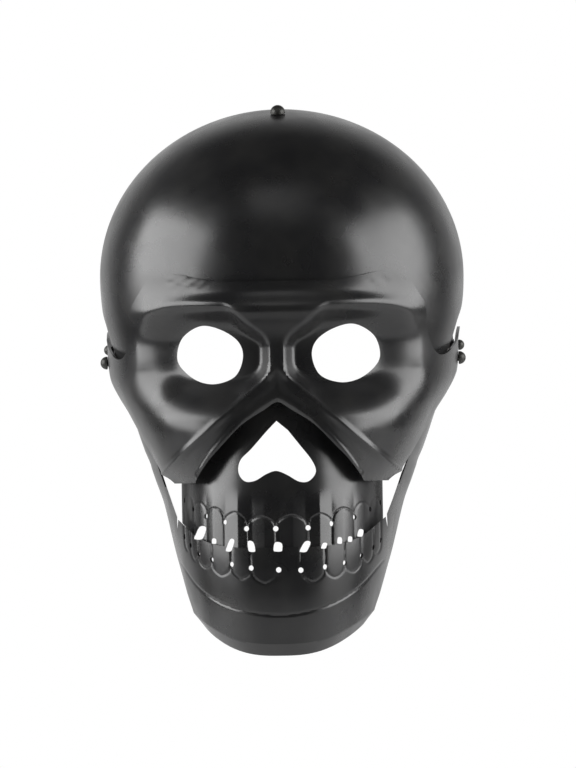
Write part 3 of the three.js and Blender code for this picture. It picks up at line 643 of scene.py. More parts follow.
def make_face(material):
    """The face plate: brow, sockets, nose bridge, V band, cheeks and temple tabs."""
    reach = math.pi / 2 + 0.32
    top = 0.32 * FACE_HEIGHT
    angle, v = np.meshgrid(np.linspace(-reach, reach, 301), np.linspace(0, 1, 141))
    z = mix(top, CHEEK_BOTTOM - 1, v)
    plan = cheek_plan(z)
    base = plan_points(plan, angle, z)
    out = np.stack([base[..., 0] / plan[0] ** 2, base[..., 1] / plan[1] ** 2, 0 * z], axis=-1)
    out /= np.linalg.norm(out, axis=-1, keepdims=True)
    front = (base[..., 1] < 0).astype(float)
    relief = front * face_relief(base[..., 0], z)
    away = np.abs(z - crease_line(base[..., 0]))
    span = smooth(np.abs(base[..., 0]), 2, 5)
    relief += front * span * CREASE_LIP * np.maximum(0, 1 - away / CREASE_SPREAD)
    over_edge = z - band_edge(base[..., 0]) - ROLL_ABOVE
    inside = 1 - smooth(np.abs(base[..., 0]), 42, 45)
    relief += front * inside * ROLL_HEIGHT * np.exp(-(over_edge / ROLL_SPREAD) ** 2)
    relief += front * 0.12 * waves(base, 40, 5)
    seam = np.exp(-((z - (0.262 * FACE_HEIGHT)) / 3.5) ** 2)
    weld = smooth(np.abs(base[..., 0] + 45), 14, 6) + 0.6 * smooth(np.abs(base[..., 0] - 52), 8, 3)
    relief += front * 0.14 * seam * weld * waves(base, 5, 21)
    obj = sheet("face_plate_steel", base + out * relief[..., None], STEEL)
    end = (STRAP_BACK + STRAP_HEAD * 2.6, STRAP_LIFT)
    upper = [(y * FACE_DEPTH, h * FACE_HEIGHT) for y, h in PLATE_SIDE]
    under = [(y * FACE_DEPTH, h * FACE_HEIGHT) for y, h in PLATE_UNDER]
    upper_line = catmull([*upper, (end[0] - 1.5, end[1] + 6.5), end], 5)
    under_line = catmull([end, (end[0] - 1.5, end[1] - 6.5), *under], 5)[1:]
    outline = [(FAR, 0.33 * FACE_HEIGHT), *map(tuple, upper_line), *map(tuple, under_line),
               (FAR, CHEEK_BOTTOM)]
    cut(obj, side_prism([outline]), "INTERSECT")
    brow = catmull([(-x * HALF_WIDTH, h * FACE_HEIGHT) for x, h in BROW_EDGE[:0:-1]]
                   + [(x * HALF_WIDTH, h * FACE_HEIGHT) for x, h in BROW_EDGE], 5)
    band = catmull([(-x * HALF_WIDTH, h * FACE_HEIGHT) for x, h in BAND_EDGE[:0:-1]]
                   + [(x * HALF_WIDTH, h * FACE_HEIGHT) for x, h in BAND_EDGE], 5)
    wide = 1.2 * HALF_WIDTH
    outline = [*map(tuple, brow), (wide, brow[-1][1]), (wide, CHEEK_BOTTOM),
               *map(tuple, band[::-1]), (-wide, CHEEK_BOTTOM), (-wide, brow[0][1])]
    cut(obj, front_prism([outline], FAR, 0.5 * FACE_DEPTH), "INTERSECT")
    eyes = []
    for side in (-1, 1):
        points = [
            (side * (EYE_SIDE - x * EYE_HALF_WIDTH), EYE_HEIGHT + h * EYE_HALF_HEIGHT)
            for x, h in EYE_OUTLINE
        ]
        eyes.append(catmull(points, 9, closed=True))
    cut(obj, front_prism(eyes, FAR, -0.3 * FACE_DEPTH))
    lines = tab_lines(0, 0) + tab_lines(STRAP_BACK, STRAP_LIFT)
    cut(obj, drills(lines, PIN_RADIUS + GAP))
    return finish_piece(obj, ["face_plate"], "mask", material)


# Teeth
UPPER_RIDGES = [-0.93, -0.80, -0.66, -0.41, -0.14, 0.13, 0.40, 0.63, 0.83, 0.95]
UPPER_HOLES = [
    (-0.965, -0.931),
    (-0.865, -0.987),
    (-0.730, -1.035),
    (-0.545, -1.076),
    (-0.325, -1.121),
    (-0.035, -1.124),
    (0.285, -1.121),
    (0.515, -1.096),
    (0.735, -1.056),
    (0.880, -1.005),
    (0.975, -0.965),
]
LOWER_HOLES = [
    (-0.965, -1.172),
    (-0.900, -1.230),
    (-0.815, -1.288),
    (-0.680, -1.325),
    (-0.480, -1.357),
    (-0.285, -1.383),
    (-0.010, -1.398),
    (0.210, -1.402),
    (0.450, -1.383),
    (0.640, -1.359),
    (0.800, -1.315),
    (0.915, -1.263),
    (0.985, -1.215),
]
BITE_LINE = [
    (0.00, -0.623),
    (0.35, -0.622),
    (0.62, -0.612),
    (0.80, -0.590),
    (0.92, -0.560),
    (1.03, -0.528),
]
BITE_GAPS = [
    (-0.795, 2.5, 2.6, 3.4, 0.5),
    (-0.655, 1.0, 1.3, 1.4, 0.0),
    (-0.490, 0.2, 1.7, 3.2, 0.6),
    (-0.280, 0.3, 1.9, 2.8, -0.3),
    (-0.015, 0.0, 2.4, 2.4, 0.0),
    (0.255, -0.2, 2.1, 2.8, 0.6),
    (0.440, -0.4, 1.4, 1.5, 0.3),
    (0.590, 1.2, 1.3, 1.7, 0.0),
    (0.690, 0.3, 1.2, 1.4, 0.0),
    (0.790, 1.4, 1.5, 1.9, 0.2),
]
NOSE_HALF = 19.0
NOSE_SIDE = -0.8
NOSE_RISE = 25.0
NOSE_NOTCH = -55.4
NOSE_OUTLINE = [
    (0.00, 1.00),
    (-0.27, 0.79),
    (-0.67, 0.45),
    (-0.97, 0.22),
    (-1.02, -0.03),
    (-0.85, -0.20),
    (-0.58, -0.19),
    (-0.28, -0.06),
    (-0.02, 0.00),
    (0.26, -0.08),
    (0.58, -0.22),
    (0.84, -0.21),
    (1.02, -0.03),
    (0.92, 0.20),
    (0.60, 0.52),
    (0.30, 0.81),
]
ARM_REAR = [
    (0.040, -0.150),
    (-0.070, -0.300),
    (-0.160, -0.430),
    (-0.250, -0.560),
    (-0.340, -0.680),
    (-0.420, -0.780),
    (-0.480, -0.860),
    (-0.520, -1.050),
]
ARM_FRONT = [
    (-0.430, -0.420),
    (-0.345, -0.300),
    (-0.240, -0.170),
    (-0.150, -0.080),
]
ARM_INNER = [
    (0.576, -0.572),
    (0.574, -0.520),
    (0.602, -0.475),
    (0.625, -0.435),
    (0.652, -0.385),
    (0.710, -0.300),
    (0.720, 0.100),
]


def bite_line(x):
    """Height of the line between the upper and lower teeth."""
    rows = np.array(BITE_LINE)
    return FACE_HEIGHT * np.interp(np.abs(x) / TEETH_HALF, rows[:, 0], rows[:, 1])


def bite_gaps():
    """Outlines of the open gaps between the upper and lower teeth."""
    corners = [(-1, -0.7), (-0.5, -1), (0.7, -1), (1, -0.5), (0.8, 0.9), (-0.7, 1)]
    gaps = []
    for middle, offset, half_x, half_z, slant in BITE_GAPS:
        x = middle * TEETH_HALF
        z = float(bite_line(x)) + offset
        shape = [(x + 0.92 * half_x * (a + slant * b), z + 0.92 * half_z * b) for a, b in corners]
        gaps.append(catmull(shape, 3, closed=True))
    return gaps


def tooth_lines(plan_at, holes):
    """Lines square to the surface through the drilled holes between the teeth."""
    lines = []
    for share, level in holes:
        z = level * HOLE_LEVEL
        plan = [float(v) for v in plan_at(np.array(z))]
        x = share * TEETH_HALF
        slope = float(plan_depth(plan, x + 0.05) - plan_depth(plan, x - 0.05)) / 0.1
        normal = Vector((-slope, -1, 0)).normalized()
        surface = Vector((x, -float(plan_depth(plan, x)), z))
        lines.append((surface + normal * 4 * STEEL, surface - normal * 4 * STEEL))
    return lines


def distance_to(x, z, line):
    """Distance from points to a line of short straight stretches, seen from the front."""
    best = np.full(x.shape, 1e9)
    for (ax, az), (bx, bz) in zip(line[:-1], line[1:]):
        dx, dz = bx - ax, bz - az
        t = np.clip(((x - ax) * dx + (z - az) * dz) / (dx * dx + dz * dz + 1e-9), 0, 1)
        best = np.minimum(best, np.hypot(x - ax - t * dx, z - az - t * dz))
    return best


def upper_outlines():
    """Engraved outlines of the upper teeth: an arch over each tooth and a line at each side."""
    lines = []
    ends = [(s * TEETH_HALF, h * HOLE_LEVEL) for s, h in UPPER_HOLES]
    for (ax, az), (bx, bz) in zip(ends[:-1], ends[1:]):
        middle = (ax + bx) / 2
        rise = 0.32 * (bx - ax) + 1.2
        crown = max(az, bz) + rise
        lines.append(catmull([(ax, az), (mix(ax, bx, 0.12), mix(az, crown, 0.62)), (middle, crown),
                              (mix(bx, ax, 0.12), mix(bz, crown, 0.62)), (bx, bz)], 5))
    for x, z in ends:
        lines.append(np.array([(x, z), (x, float(bite_line(x)))]))
    return lines


def lower_outlines():
    """Engraved outlines of the lower teeth."""
    lines = []
    ends = [(s * TEETH_HALF, h * HOLE_LEVEL) for s, h in LOWER_HOLES]
    for (ax, az), (bx, bz) in zip(ends[:-1], ends[1:]):
        middle = (ax + bx) / 2
        drop = 0.38 * (bx - ax) + 1.6
        root = min(az, bz) - drop
        if abs(middle) > 0.16 * TEETH_HALF or middle < 0:
            lines.append(catmull([(ax, az), (mix(ax, bx, 0.12), mix(az, root, 0.62)), (middle, root),
                                  (mix(bx, ax, 0.12), mix(bz, root, 0.62)), (bx, bz)], 5))
    for x, z in ends:
        lines.append(np.array([(x, z), (x, float(bite_line(x)))]))
    return lines


def engrave(x, z, lines, depth, width):
    """Depth of engraved lines at points seen from the front."""
    total = np.zeros(x.shape)
    for line in lines:
        low = line.min(axis=0) - 3 * width
        high = line.max(axis=0) + 3 * width
        near = (x > low[0]) & (x < high[0]) & (z > low[1]) & (z < high[1])
        if near.any():
            d = distance_to(x[near], z[near], line)
            total[near] = np.maximum(total[near], depth * np.exp(-(d / width) ** 2))
    return total


def make_upper_teeth(material):
    """The upper-teeth plate with the nose hole."""
    top = -0.093 * FACE_HEIGHT
    low = -0.635 * FACE_HEIGHT
    x, v = np.meshgrid(np.linspace(-TEETH_HALF, TEETH_HALF, 231), np.linspace(0, 1, 151))
    v = mix(v, np.sqrt(v), 0.45)
    z = mix(top, low, v)
    nearest = np.min([np.abs(x / TEETH_HALF - share) for share in UPPER_RIDGES], axis=0)
    ridge = 1.35 * PLEAT_DEPTH * (1 - np.clip(nearest / 0.13, 0, 1))
    rise = ridge * smooth(-z, 0.42 * FACE_HEIGHT, 0.5 * FACE_HEIGHT)
    rise -= engrave(x, z, upper_outlines(), 0.45, 0.42)
    rise += 0.06 * waves(np.stack([x, z, 0 * x], -1), 18, 8)
    outer = np.stack([x, -plan_depth(teeth_plan(z), x) - rise, z], axis=-1)
    obj = sheet("upper_teeth_steel", outer, STEEL)
    bottom = [(s * TEETH_HALF, h * FACE_HEIGHT - BITE_GAP) for s, h in BITE_LINE]
    line = catmull([(-a, h) for a, h in bottom[:0:-1]] + bottom, 5)
    reach = 1.5 * TEETH_HALF
    outline = [*map(tuple, line), (reach, line[-1][1]), (reach, top), (-reach, top), (-reach, line[0][1])]
    cut(obj, front_prism([outline], FAR, 0), "INTERSECT")
    edge = [(s * HALF_WIDTH, h * FACE_HEIGHT + 5) for s, h in BAND_EDGE]
    edge += [(reach, edge[-1][1]), (reach, 0.1 * FACE_HEIGHT)]
    cut(obj, front_prism([edge + [(-a, h) for a, h in edge[:0:-1]]], FAR, 0))
    nose = [(NOSE_SIDE + s * NOSE_HALF, NOSE_NOTCH + h * NOSE_RISE) for s, h in NOSE_OUTLINE]
    nose_line = catmull(nose, 5)
    cut(obj, front_prism([nose_line], FAR, -0.3 * FACE_DEPTH))
    cut(obj, front_prism(bite_gaps(), FAR, -0.25 * FACE_DEPTH))
    cut(obj, drills(tooth_lines(teeth_plan, UPPER_HOLES), TOOTH_HOLE))
    return finish_piece(obj, ["upper_teeth"], "mask", material)


def chin_crease(x):
    """Height of the chin's crease at a sideways distance."""
    return FACE_HEIGHT * (-0.947 + 0.088 * (np.abs(x) / (0.43 * HALF_WIDTH)) ** 2.2)


def make_jaw(material):
    """The jaw: lower teeth, chin and both arms."""
    reach = math.pi / 2 + 0.12
    top = ARM_END + 1
    crease_share = 0.9
    rows = np.concatenate([np.linspace(0, 0.58, 40)[:-1], np.linspace(0.58, 0.9, 96), [0.915, 0.935, 0.965, 1.0]])
    even = np.linspace(-1, 1, 321)
    angle, v = np.meshgrid(reach * even, rows)
    lowest = float(jaw_plan(np.array(-0.9 * FACE_HEIGHT))[0]) * np.sin(np.abs(angle))
    crease = np.maximum(chin_crease(lowest), -0.947 * FACE_HEIGHT)
    z = mix(top, crease, np.minimum(1, v / crease_share))
    base = plan_points(jaw_plan(z), angle, z)
    x = base[..., 0]
    on_face = base[..., 1] < -0.4 * FACE_DEPTH
    groove = engrave(x, z, lower_outlines(), 0.42, 0.45)
    engraved = catmull([
        (-0.56 * HALF_WIDTH, -0.677 * FACE_HEIGHT),
        (-0.44 * HALF_WIDTH, -0.765 * FACE_HEIGHT),
        (-0.26 * HALF_WIDTH, -0.825 * FACE_HEIGHT),
        (0, -0.851 * FACE_HEIGHT),
        (0.24 * HALF_WIDTH, -0.825 * FACE_HEIGHT),
        (0.42 * HALF_WIDTH, -0.765 * FACE_HEIGHT),
        (0.55 * HALF_WIDTH, -0.677 * FACE_HEIGHT),
    ], 6)
    groove = np.maximum(groove, engrave(x, z, [engraved], 0.5, 0.5))
    out = np.stack([x, base[..., 1], 0 * z], axis=-1)
    out /= np.linalg.norm(out, axis=-1, keepdims=True)
    push = np.where(on_face, 0.08 * waves(base, 22, 11) - groove, 0)
    turned = np.maximum(0, (v - crease_share) / (1 - crease_share)) * CHIN_TURN
    outer = base + out * (push - 0.75 * turned)[..., None]
    outer[..., 2] -= 0.66 * turned
    obj = sheet("jaw_steel", outer, STEEL)
    end = [(-ARM_END * math.cos(a), ARM_END * math.sin(a)) for a in np.linspace(0, math.pi, 25)]
    front = catmull([(y * FACE_DEPTH, h * FACE_HEIGHT) for y, h in ARM_FRONT] + [end[0]], 5)
    rear = catmull([end[-1]] + [(y * FACE_DEPTH, h * FACE_HEIGHT) for y, h in ARM_REAR], 5)
    outline = [(FAR, -0.42 * FACE_HEIGHT), *map(tuple, front), *end[1:-1], *map(tuple, rear),
               (FAR, -1.05 * FACE_HEIGHT)]
    cut(obj, side_prism([outline]), "INTERSECT")
    bottom = [(s * TEETH_HALF, h * FACE_HEIGHT - BITE_GAP / 2) for s, h in BITE_LINE]
    line = catmull([(-a, h) for a, h in bottom[:0:-1]] + bottom, 5)
    inner = [(s * HALF_WIDTH, h * FACE_HEIGHT) for s, h in ARM_INNER]
    outline = [*map(tuple, line), *inner, *[(-a, h) for a, h in inner[::-1]]]
    cut(obj, front_prism([outline], FAR, -0.1 * FACE_DEPTH))
    cut(obj, front_prism(bite_gaps(), FAR, -0.25 * FACE_DEPTH))
    cut(obj, drills(tooth_lines(jaw_plan, LOWER_HOLES), TOOTH_HOLE))
    cut(obj, drills(tab_lines(0, 0), PIN_RADIUS + GAP))
    return finish_piece(obj, ["jaw"], "jaw", material)


# Rivets, straps and buckle
def make_rivets(material):
    """Domed rivets at the crown and the temples, each with its shank and closed end."""
    seats = [(crown_point(GAP), (crown_point(1) - crown_point(0)), CROWN_HEAD,
              STEEL + LEATHER + EDGE_SAG + 5 * GAP)]
    for side in (-1, 1):
        for y, z, head, grip in ((0, 0, JAW_HEAD, 2 * STEEL + 3 * GAP + 0.8 * SWING_ROOM),
                                 (STRAP_BACK, STRAP_LIFT, STRAP_HEAD, STEEL + LEATHER + 9 * GAP)):
            out = tab_point(side, y, z, 1) - tab_point(side, y, z, 0)
            seats.append((tab_point(side, y, z, GAP), out, head, grip))
    turns = [math.pi / 2 * k / 12 for k in range(1, 12)]
    dome = [(0.90, 0), (0.985, 0.04)]
    dome += [(math.cos(a), 0.1 + (RIVET_RISE - 0.1) * math.sin(a)) for a in turns]
    head = lathe("head", [(0.5, 0), *dome], 40)
    places = [(tuple(p), tuple(d), (r, r, r)) for p, d, r, _ in seats]
    heads = repeat("rivets", head, places, material)
    shank = lathe("shank", [(1.5, -1.16), (1.5, -1), (1, -0.99), (1, 0.04)], 24)
    places = [(tuple(p), tuple(d), (0.9 * PIN_RADIUS, 0.9 * PIN_RADIUS, g)) for p, d, _, g in seats]
    shanks = repeat("shanks", shank, places, material)
    mesh = bmesh.new()
    mesh.from_mesh(heads.data)
    mesh.from_mesh(shanks.data)
    mesh.to_mesh(heads.data)
    mesh.free()
    old = shanks.data
    bpy.data.objects.remove(shanks)
    bpy.data.meshes.remove(old)
    names = ["crown_rivet"] + [f"{kind}_rivet_{side}" for kind in ("jaw", "strap")
                               for side in ("left", "right")]
    return finish_piece(heads, names, "mask", material, 40)


def band(name, path, across, outward):
    """Leather band along a path: soft edges, a pressed line along each edge, closed at its ends."""
    half = STRAP_WIDTH / 2
    edge = 0.8
    top = [(-half + edge * (1 - math.cos(a)), edge * math.sin(a)) for a in np.linspace(0, math.pi / 2, 5)]
    line = [(-half + 2.6, edge), (-half + 2.9, edge - 0.28), (-half + 3.2, edge), (0, edge)]
    top = top + line + [(-a, h) for a, h in (top + line)[-2::-1]]
    thick = LEATHER / 2
    section = [(a, h + thick - edge) for a, h in top]
    section += [(-a, -h - thick + edge) for a, h in top]
    points = []
    for p, side, out in zip(path, across, outward):
        for a, h in section:
            points.append(p + side * a + out * (h - thick))
    rows = len(path)
    n = len(section)
    faces = []
    for j in range(rows - 1):
        for k in range(n):
            m = (k + 1) % n
            faces.append([j * n + k, (j + 1) * n + k, (j + 1) * n + m, j * n + m])
    faces.append([k for k in range(n)])
    faces.append([(rows - 1) * n + k for k in range(n)][::-1])
    obj = mesh_from(name, points, faces)
    mesh = bmesh.new()
    mesh.from_mesh(obj.data)
    bmesh.ops.remove_doubles(mesh, verts=mesh.verts, dist=1e-6)
    bmesh.ops.recalc_face_normals(mesh, faces=mesh.faces)
    mesh.to_mesh(obj.data)
    mesh.free()
    return obj


def climb():
    """Turn about the two strap rivets that lifts the back strap at the back of the head."""
    pivot = Vector((0, STRAP_BACK, STRAP_LIFT))
    return Matrix.Translation(pivot) @ Matrix.Rotation(STRAP_RISE, 4, "X") @ Matrix.Translation(-pivot)


def make_back_strap(material):
    """The strap round the back of the head, with rounded ends on the strap rivets."""
    lifted = climb()
    half = float(face_plan(np.array(STRAP_LIFT - STRAP_WIDTH / 2))[0]) - STEEL - 3 * GAP
    end_share = (STRAP_BACK - STRAP_WIDTH / 2) / HEAD_BACK
    end_turn = math.acos(end_share ** (HEAD_ROUND / 2))
    power = 2 / HEAD_ROUND
    path, across, outward = [], [], []
    for u in np.linspace(-1, 1, 181):
        turn = end_turn * abs(u)
        x = math.copysign(half * math.sin(turn) ** power, u)
        y = HEAD_BACK * math.cos(turn) ** power
        out = rear_normal(x, y, half)
        path.append(np.array(lifted @ Vector((x, y, STRAP_LIFT))))
        across.append(np.array(lifted.to_3x3() @ Vector((0, 0, 1))))
        outward.append(np.array(lifted.to_3x3() @ out))
    obj = band("back_strap_leather", path, across, outward)
    r = STRAP_WIDTH / 2
    ring = [(STRAP_BACK + r * math.cos(a), STRAP_LIFT + r * math.sin(a))
            for a in np.linspace(math.pi / 2, 1.5 * math.pi, 33)]
    wide = 1.5 * HEAD_BACK
    outline = [(wide, STRAP_LIFT + r + 1), (STRAP_BACK, STRAP_LIFT + r + 1), *ring[1:-1],
               (STRAP_BACK, STRAP_LIFT - r - 1), (wide, STRAP_LIFT - r - 1)]
    cutter = side_prism([outline])
    cutter.data.transform(Matrix.Scale(MM, 4) @ lifted @ Matrix.Scale(1 / MM, 4))
    cut(obj, cutter, "INTERSECT")
    cut(obj, drills(tab_lines(STRAP_BACK, STRAP_LIFT), PIN_RADIUS + GAP))
    return finish_piece(obj, ["back_strap"], "mask", material, 40)


def make_crown_strap(material):
    """The strap from the crown rivet over the head and down inside the back strap."""
    lifted = climb()
    inside = STEEL + 2 * GAP + EDGE_SAG
    rise = CAP_RISE - inside
    crown = CAP_LEVEL + rise
    front_turn = math.asin((CROWN_FRONT + STRAP_WIDTH / 2) / CAP_DEPTH)
    reach = HEAD_BACK * (1 - EDGE_SAG / CAP_RISE) - LEATHER - 2 * GAP
    lap_top = lifted @ Vector((0, reach, STRAP_LIFT + STRAP_WIDTH / 2))
    lap_low = lifted @ Vector((0, reach, STRAP_LIFT - STRAP_WIDTH / 2))
    stops = [(-(CAP_DEPTH - inside) * math.sin(s * front_turn), CAP_LEVEL + rise * math.cos(s * front_turn))
             for s in (1, 0.5, 0)]
    stops += [(lap_top.y * math.sin(s * math.pi / 2),
               lap_top.z + (crown - lap_top.z) * math.cos(s * math.pi / 2)) for s in (0.2, 0.4, 0.6, 0.8)]
    stops += [(lap_top.y, lap_top.z), (lap_low.y, lap_low.z)]
    line = catmull(stops, 16)
    path, across, outward = [], [], []
    slopes = np.gradient(line, axis=0)
    for (y, z), (dy, dz) in zip(line, slopes):
        out = np.array((0, -dz, dy)) / math.hypot(dy, dz)
        path.append(np.array((0, y, z)))
        across.append(np.array((1.0, 0, 0)))
        outward.append(out)
    obj = band("crown_strap_leather", path, across, outward)
    cut(obj, drills([(crown_point(2 * STEEL), crown_point(-6 * STEEL))], PIN_RADIUS + GAP))
    return finish_piece(obj, ["crown_strap"], "mask", material, 40)


def dress_buckle(material):
    """Softens the buckle's edges and gives it its material."""
    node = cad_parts["buckle"]
    bevel = node.modifiers.new("soft_edges", "BEVEL")
    bevel.width = 0.5 * MM
    bevel.segments = 3
    node.data.materials.clear()
    node.data.materials.append(material)
    return node


# Materials
def new_material(name, base, metallic, roughness):
    """A Principled material, its nodes and links."""
    material = bpy.data.materials.new(name)
    material.use_nodes = True
    nodes = material.node_tree.nodes
    shader = nodes["Principled BSDF"]
    shader.inputs["Base Color"].default_value = (*base, 1)
    shader.inputs["Metallic"].default_value = metallic
    shader.inputs["Roughness"].default_value = roughness
    return material, nodes, material.node_tree.links, shader


def noise_ramp(nodes, links, scale, detail, low, high, start, end):
    """Noise on object coordinates, mapped between two values."""
    coordinate = nodes.new("ShaderNodeTexCoord")
    noise = nodes.new("ShaderNodeTexNoise")
    noise.inputs["Scale"].default_value = scale
    noise.inputs["Detail"].default_value = detail
    links.new(coordinate.outputs["Object"], noise.inputs["Vector"])
    ramp = nodes.new("ShaderNodeMapRange")
    ramp.inputs["From Min"].default_value = start
    ramp.inputs["From Max"].default_value = end
    ramp.inputs["To Min"].default_value = low
    ramp.inputs["To Max"].default_value = high
    links.new(noise.outputs["Fac"], ramp.inputs["Value"])
    return noise, ramp


def black_coating():
    """Satin black coating over beaten steel, with a fine grain and a little dust."""
    material, nodes, links, shader = new_material("black_coating", (0.011, 0.011, 0.0113), 0.0, 0.36)
    mean = settings().coating_roughness
    _, roughness = noise_ramp(nodes, links, 38, 4, mean - 0.05, mean + 0.05, 0.35, 0.65)
    links.new(roughness.outputs["Result"], shader.inputs["Roughness"])
    grain, _ = noise_ramp(nodes, links, 1900, 3, 0, 1, 0, 1)
    bump = nodes.new("ShaderNodeBump")
    bump.inputs["Strength"].default_value = 0.12
    bump.inputs["Distance"].default_value = 0.0002
    links.new(grain.outputs["Fac"], bump.inputs["Height"])
    links.new(bump.outputs["Normal"], shader.inputs["Normal"])
    _, shade = noise_ramp(nodes, links, 60, 6, 0, 1, 0.42, 0.75)
    colour = nodes.new("ShaderNodeMix")
    colour.data_type = "RGBA"
    colour.inputs["A"].default_value = (0.0095, 0.0095, 0.0100, 1)
    colour.inputs["B"].default_value = (0.016, 0.0157, 0.0153, 1)
    links.new(shade.outputs["Result"], colour.inputs["Factor"])
    links.new(colour.outputs["Result"], shader.inputs["Base Color"])
    return material


def dark_rivet_steel():
    """Blackened steel of the rivets and buckle."""
    material, nodes, links, shader = new_material("dark_rivet_steel", (0.035, 0.035, 0.032), 0.5, 0.42)
    _, roughness = noise_ramp(nodes, links, 420, 4, 0.32, 0.55, 0.35, 0.65)
    links.new(roughness.outputs["Result"], shader.inputs["Roughness"])
    return material


def strap_leather():
    """Dark leather with a fine grain."""
    material, nodes, links, shader = new_material("strap_leather", (0.06, 0.052, 0.047), 0.0, 0.6)
    grain, shade = noise_ramp(nodes, links, 520, 5, 0, 1, 0.3, 0.7)
    colour = nodes.new("ShaderNodeMix")
    colour.data_type = "RGBA"
    colour.inputs["A"].default_value = (0.04, 0.035, 0.032, 1)
    colour.inputs["B"].default_value = (0.085, 0.075, 0.068, 1)
    links.new(shade.outputs["Result"], colour.inputs["Factor"])
    links.new(colour.outputs["Result"], shader.inputs["Base Color"])
    bump = nodes.new("ShaderNodeBump")
    bump.inputs["Strength"].default_value = 0.5
    bump.inputs["Distance"].default_value = 0.0004
    links.new(grain.outputs["Fac"], bump.inputs["Height"])
    links.new(bump.outputs["Normal"], shader.inputs["Normal"])
    return material


def material_named(name, make):
    """A material that is made once and shared."""
    return bpy.data.materials.get(name) or make()


# Stage
def make_stage():
    """Pale floor, soft lights from both sides, a white surround and the camera."""
    bpy.ops.mesh.primitive_circle_add(vertices=96, radius=0.9, fill_type="NGON", location=(0, 0, 0))
    floor = bpy.context.object
    floor.name = "floor"
    floor.data.transform(Matrix.Translation((0, 0, -0.33)))
    material, _, _, _ = new_material("pale_floor", (0.85, 0.85, 0.85), 0.0, 0.9)
    floor.data.materials.append(material)
    power = settings().softbox_power
    for name, place, size, energy in (
        ("softbox_left", (-1.15, -0.24, 0.32), (1.2, 0.95), power),
        ("softbox_right", (1.15, -0.24, 0.28), (1.2, 0.95), 0.9 * power),
        ("top_fill", (0, -0.9, 1.4), (0.9, 0.6), 1.5),
    ):
        light = bpy.data.lights.new(name, "AREA")
        light.shape = "RECTANGLE"
        light.size, light.size_y = size
        light.energy = energy
        obj = bpy.data.objects.new(name, light)
        obj.location = place
        aim = Vector((0, -0.03, 0.0)) - Vector(place)
        obj.rotation_euler = aim.to_track_quat("-Z", "Y").to_euler()
        bpy.context.scene.collection.objects.link(obj)
    make_world()
    make_camera()


def make_world():
    """White surround: all of it to the camera, and only its rear part in what it lights."""
    world = bpy.data.worlds.new("white_surround")
    bpy.context.scene.world = world
    world.use_nodes = True
    nodes = world.node_tree.nodes
    links = world.node_tree.links
    background = nodes["Background"]
    coordinate = nodes.new("ShaderNodeTexCoord")
    split = nodes.new("ShaderNodeSeparateXYZ")
    links.new(coordinate.outputs["Generated"], split.inputs["Vector"])
    ramp = nodes.new("ShaderNodeMapRange")
    ramp.interpolation_type = "SMOOTHSTEP"
    ramp.inputs["From Min"].default_value = 0.55
    ramp.inputs["From Max"].default_value = 0.92
    ramp.inputs["To Min"].default_value = 0.03
    ramp.inputs["To Max"].default_value = 0.80
    links.new(split.outputs["Y"], ramp.inputs["Value"])
    path = nodes.new("ShaderNodeLightPath")
    strength = nodes.new("ShaderNodeMix")
    strength.data_type = "FLOAT"
    strength.inputs["B"].default_value = 1.0
    links.new(path.outputs["Is Camera Ray"], strength.inputs["Factor"])
    links.new(ramp.outputs["Result"], strength.inputs["A"])
    links.new(strength.outputs["Result"], background.inputs["Strength"])
    background.inputs["Color"].default_value = (1, 1, 1, 1)
    bpy.context.scene.view_settings.view_transform = "Standard"


def make_camera():
    """Long lens straight ahead of the face, turned and tilted a little as in the photo."""
    turn = math.radians(1.8)
    lean = math.radians(-0.9)
    distance = 8000.0
    photo_scale = 2.0
    photo_middle = (288, 384)
    axis_pixel = (283, 360)
    right = Vector((math.cos(turn), math.sin(turn), 0))
    ahead = Vector((-math.sin(turn), math.cos(turn), 0))
    up = Vector((0, 0, 1))
    image_right = right * math.cos(lean) + up * math.sin(lean)
    image_up = up * math.cos(lean) - right * math.sin(lean)
    target = image_right * ((photo_middle[0] - axis_pixel[0]) / photo_scale)
    target += image_up * ((axis_pixel[1] - photo_middle[1]) / photo_scale)
    target += ahead * -FACE_DEPTH
    place = target - ahead * distance
    matrix = Matrix((image_right, image_up, -ahead)).transposed().to_4x4()
    matrix.translation = place * MM
    camera = bpy.data.cameras.new("camera")
    camera.sensor_fit = "HORIZONTAL"
    camera.sensor_width = 36.0
    camera.lens = camera.sensor_width * distance * photo_scale / 576
    camera.clip_end = 100
    obj = bpy.data.objects.new("camera", camera)
    obj.matrix_world = matrix
    bpy.context.scene.collection.objects.link(obj)
    bpy.context.scene.camera = obj


class MaskSettings(bpy.types.PropertyGroup):
    """Settings of the mask's look."""

    coating_roughness: bpy.props.FloatProperty(
        name="Coating Roughness",
        description="Mean roughness of the black coating",
        default=0.29,
        min=0.1,
        max=0.9,
    )
    softbox_power: bpy.props.FloatProperty(
        name="Softbox Power",
        description="Power of each of the two side lights",
        default=25.0,
        min=0.0,
        unit="POWER",
    )


def settings():
    """The mask's settings in the current scene."""
    return bpy.context.scene.steel_mask


def coating():
    """The plates' shared material."""
    return material_named("black_coating", black_coating)


def rivet_metal():
    """The rivets' and the buckle's shared material."""
    return material_named("dark_rivet_steel", dark_rivet_steel)


def leather():
    """The straps' shared material."""
    return material_named("strap_leather", strap_leather)


class MASK_OT_cap(bpy.types.Operator):
    """Build the half dome over the forehead"""

    bl_idname = "steel_mask.cap"
    bl_label = "Skull Cap"

    def execute(self, context):
        make_cap(coating())
        return {"FINISHED"}


class MASK_OT_face(bpy.types.Operator):
    """Build the face plate with its eye sockets"""

    bl_idname = "steel_mask.face"
    bl_label = "Face Plate"

    def execute(self, context):
        make_face(coating())
        return {"FINISHED"}


class MASK_OT_upper_teeth(bpy.types.Operator):
    """Build the upper-teeth plate with the nose hole"""

    bl_idname = "steel_mask.upper_teeth"
    bl_label = "Upper Teeth"

    def execute(self, context):
        make_upper_teeth(coating())
        return {"FINISHED"}


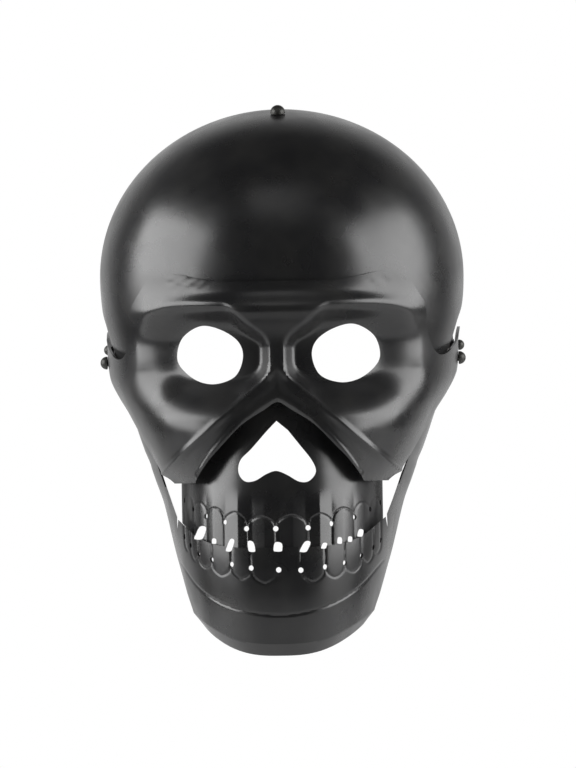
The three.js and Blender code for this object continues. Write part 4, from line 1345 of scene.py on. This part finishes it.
class MASK_OT_jaw(bpy.types.Operator):
    """Build the jaw with the lower teeth"""

    bl_idname = "steel_mask.jaw"
    bl_label = "Jaw"

    def execute(self, context):
        make_jaw(coating())
        return {"FINISHED"}


class MASK_OT_rivets(bpy.types.Operator):
    """Build all rivets"""

    bl_idname = "steel_mask.rivets"
    bl_label = "Rivets"

    def execute(self, context):
        make_rivets(rivet_metal())
        return {"FINISHED"}


class MASK_OT_straps(bpy.types.Operator):
    """Build both leather straps and dress the buckle"""

    bl_idname = "steel_mask.straps"
    bl_label = "Straps and Buckle"

    def execute(self, context):
        make_back_strap(leather())
        make_crown_strap(leather())
        dress_buckle(rivet_metal())
        return {"FINISHED"}


class MASK_OT_stage(bpy.types.Operator):
    """Set up floor, lights, surround and camera"""

    bl_idname = "steel_mask.stage"
    bl_label = "Stage"

    def execute(self, context):
        make_stage()
        return {"FINISHED"}


OPERATORS = (
    MASK_OT_cap,
    MASK_OT_face,
    MASK_OT_upper_teeth,
    MASK_OT_jaw,
    MASK_OT_rivets,
    MASK_OT_straps,
    MASK_OT_stage,
)


class MASK_PT_panel(bpy.types.Panel):
    """Sidebar panel with the mask's settings and steps"""

    bl_idname = "MASK_PT_panel"
    bl_label = "Steel Skull Mask"
    bl_space_type = "VIEW_3D"
    bl_region_type = "UI"
    bl_category = "Mask"

    def draw(self, context):
        column_layout = self.layout.column()
        column_layout.prop(context.scene.steel_mask, "coating_roughness")
        column_layout.prop(context.scene.steel_mask, "softbox_power")
        for operator in OPERATORS:
            column_layout.operator(operator.bl_idname)


CLASSES = (MaskSettings, *OPERATORS, MASK_PT_panel)


def register():
    """Registers the classes and the scene's settings."""
    for item in CLASSES:
        bpy.utils.register_class(item)
    bpy.types.Scene.steel_mask = bpy.props.PointerProperty(type=MaskSettings)


def unregister():
    """Removes the settings and the classes."""
    del bpy.types.Scene.steel_mask
    for item in reversed(CLASSES):
        bpy.utils.unregister_class(item)


def main():
    """Builds everything."""
    register()
    bpy.ops.steel_mask.cap()
    bpy.ops.steel_mask.face()
    bpy.ops.steel_mask.upper_teeth()
    bpy.ops.steel_mask.jaw()
    bpy.ops.steel_mask.rivets()
    bpy.ops.steel_mask.straps()
    bpy.ops.steel_mask.stage()


if __name__ == "__main__":
    main()
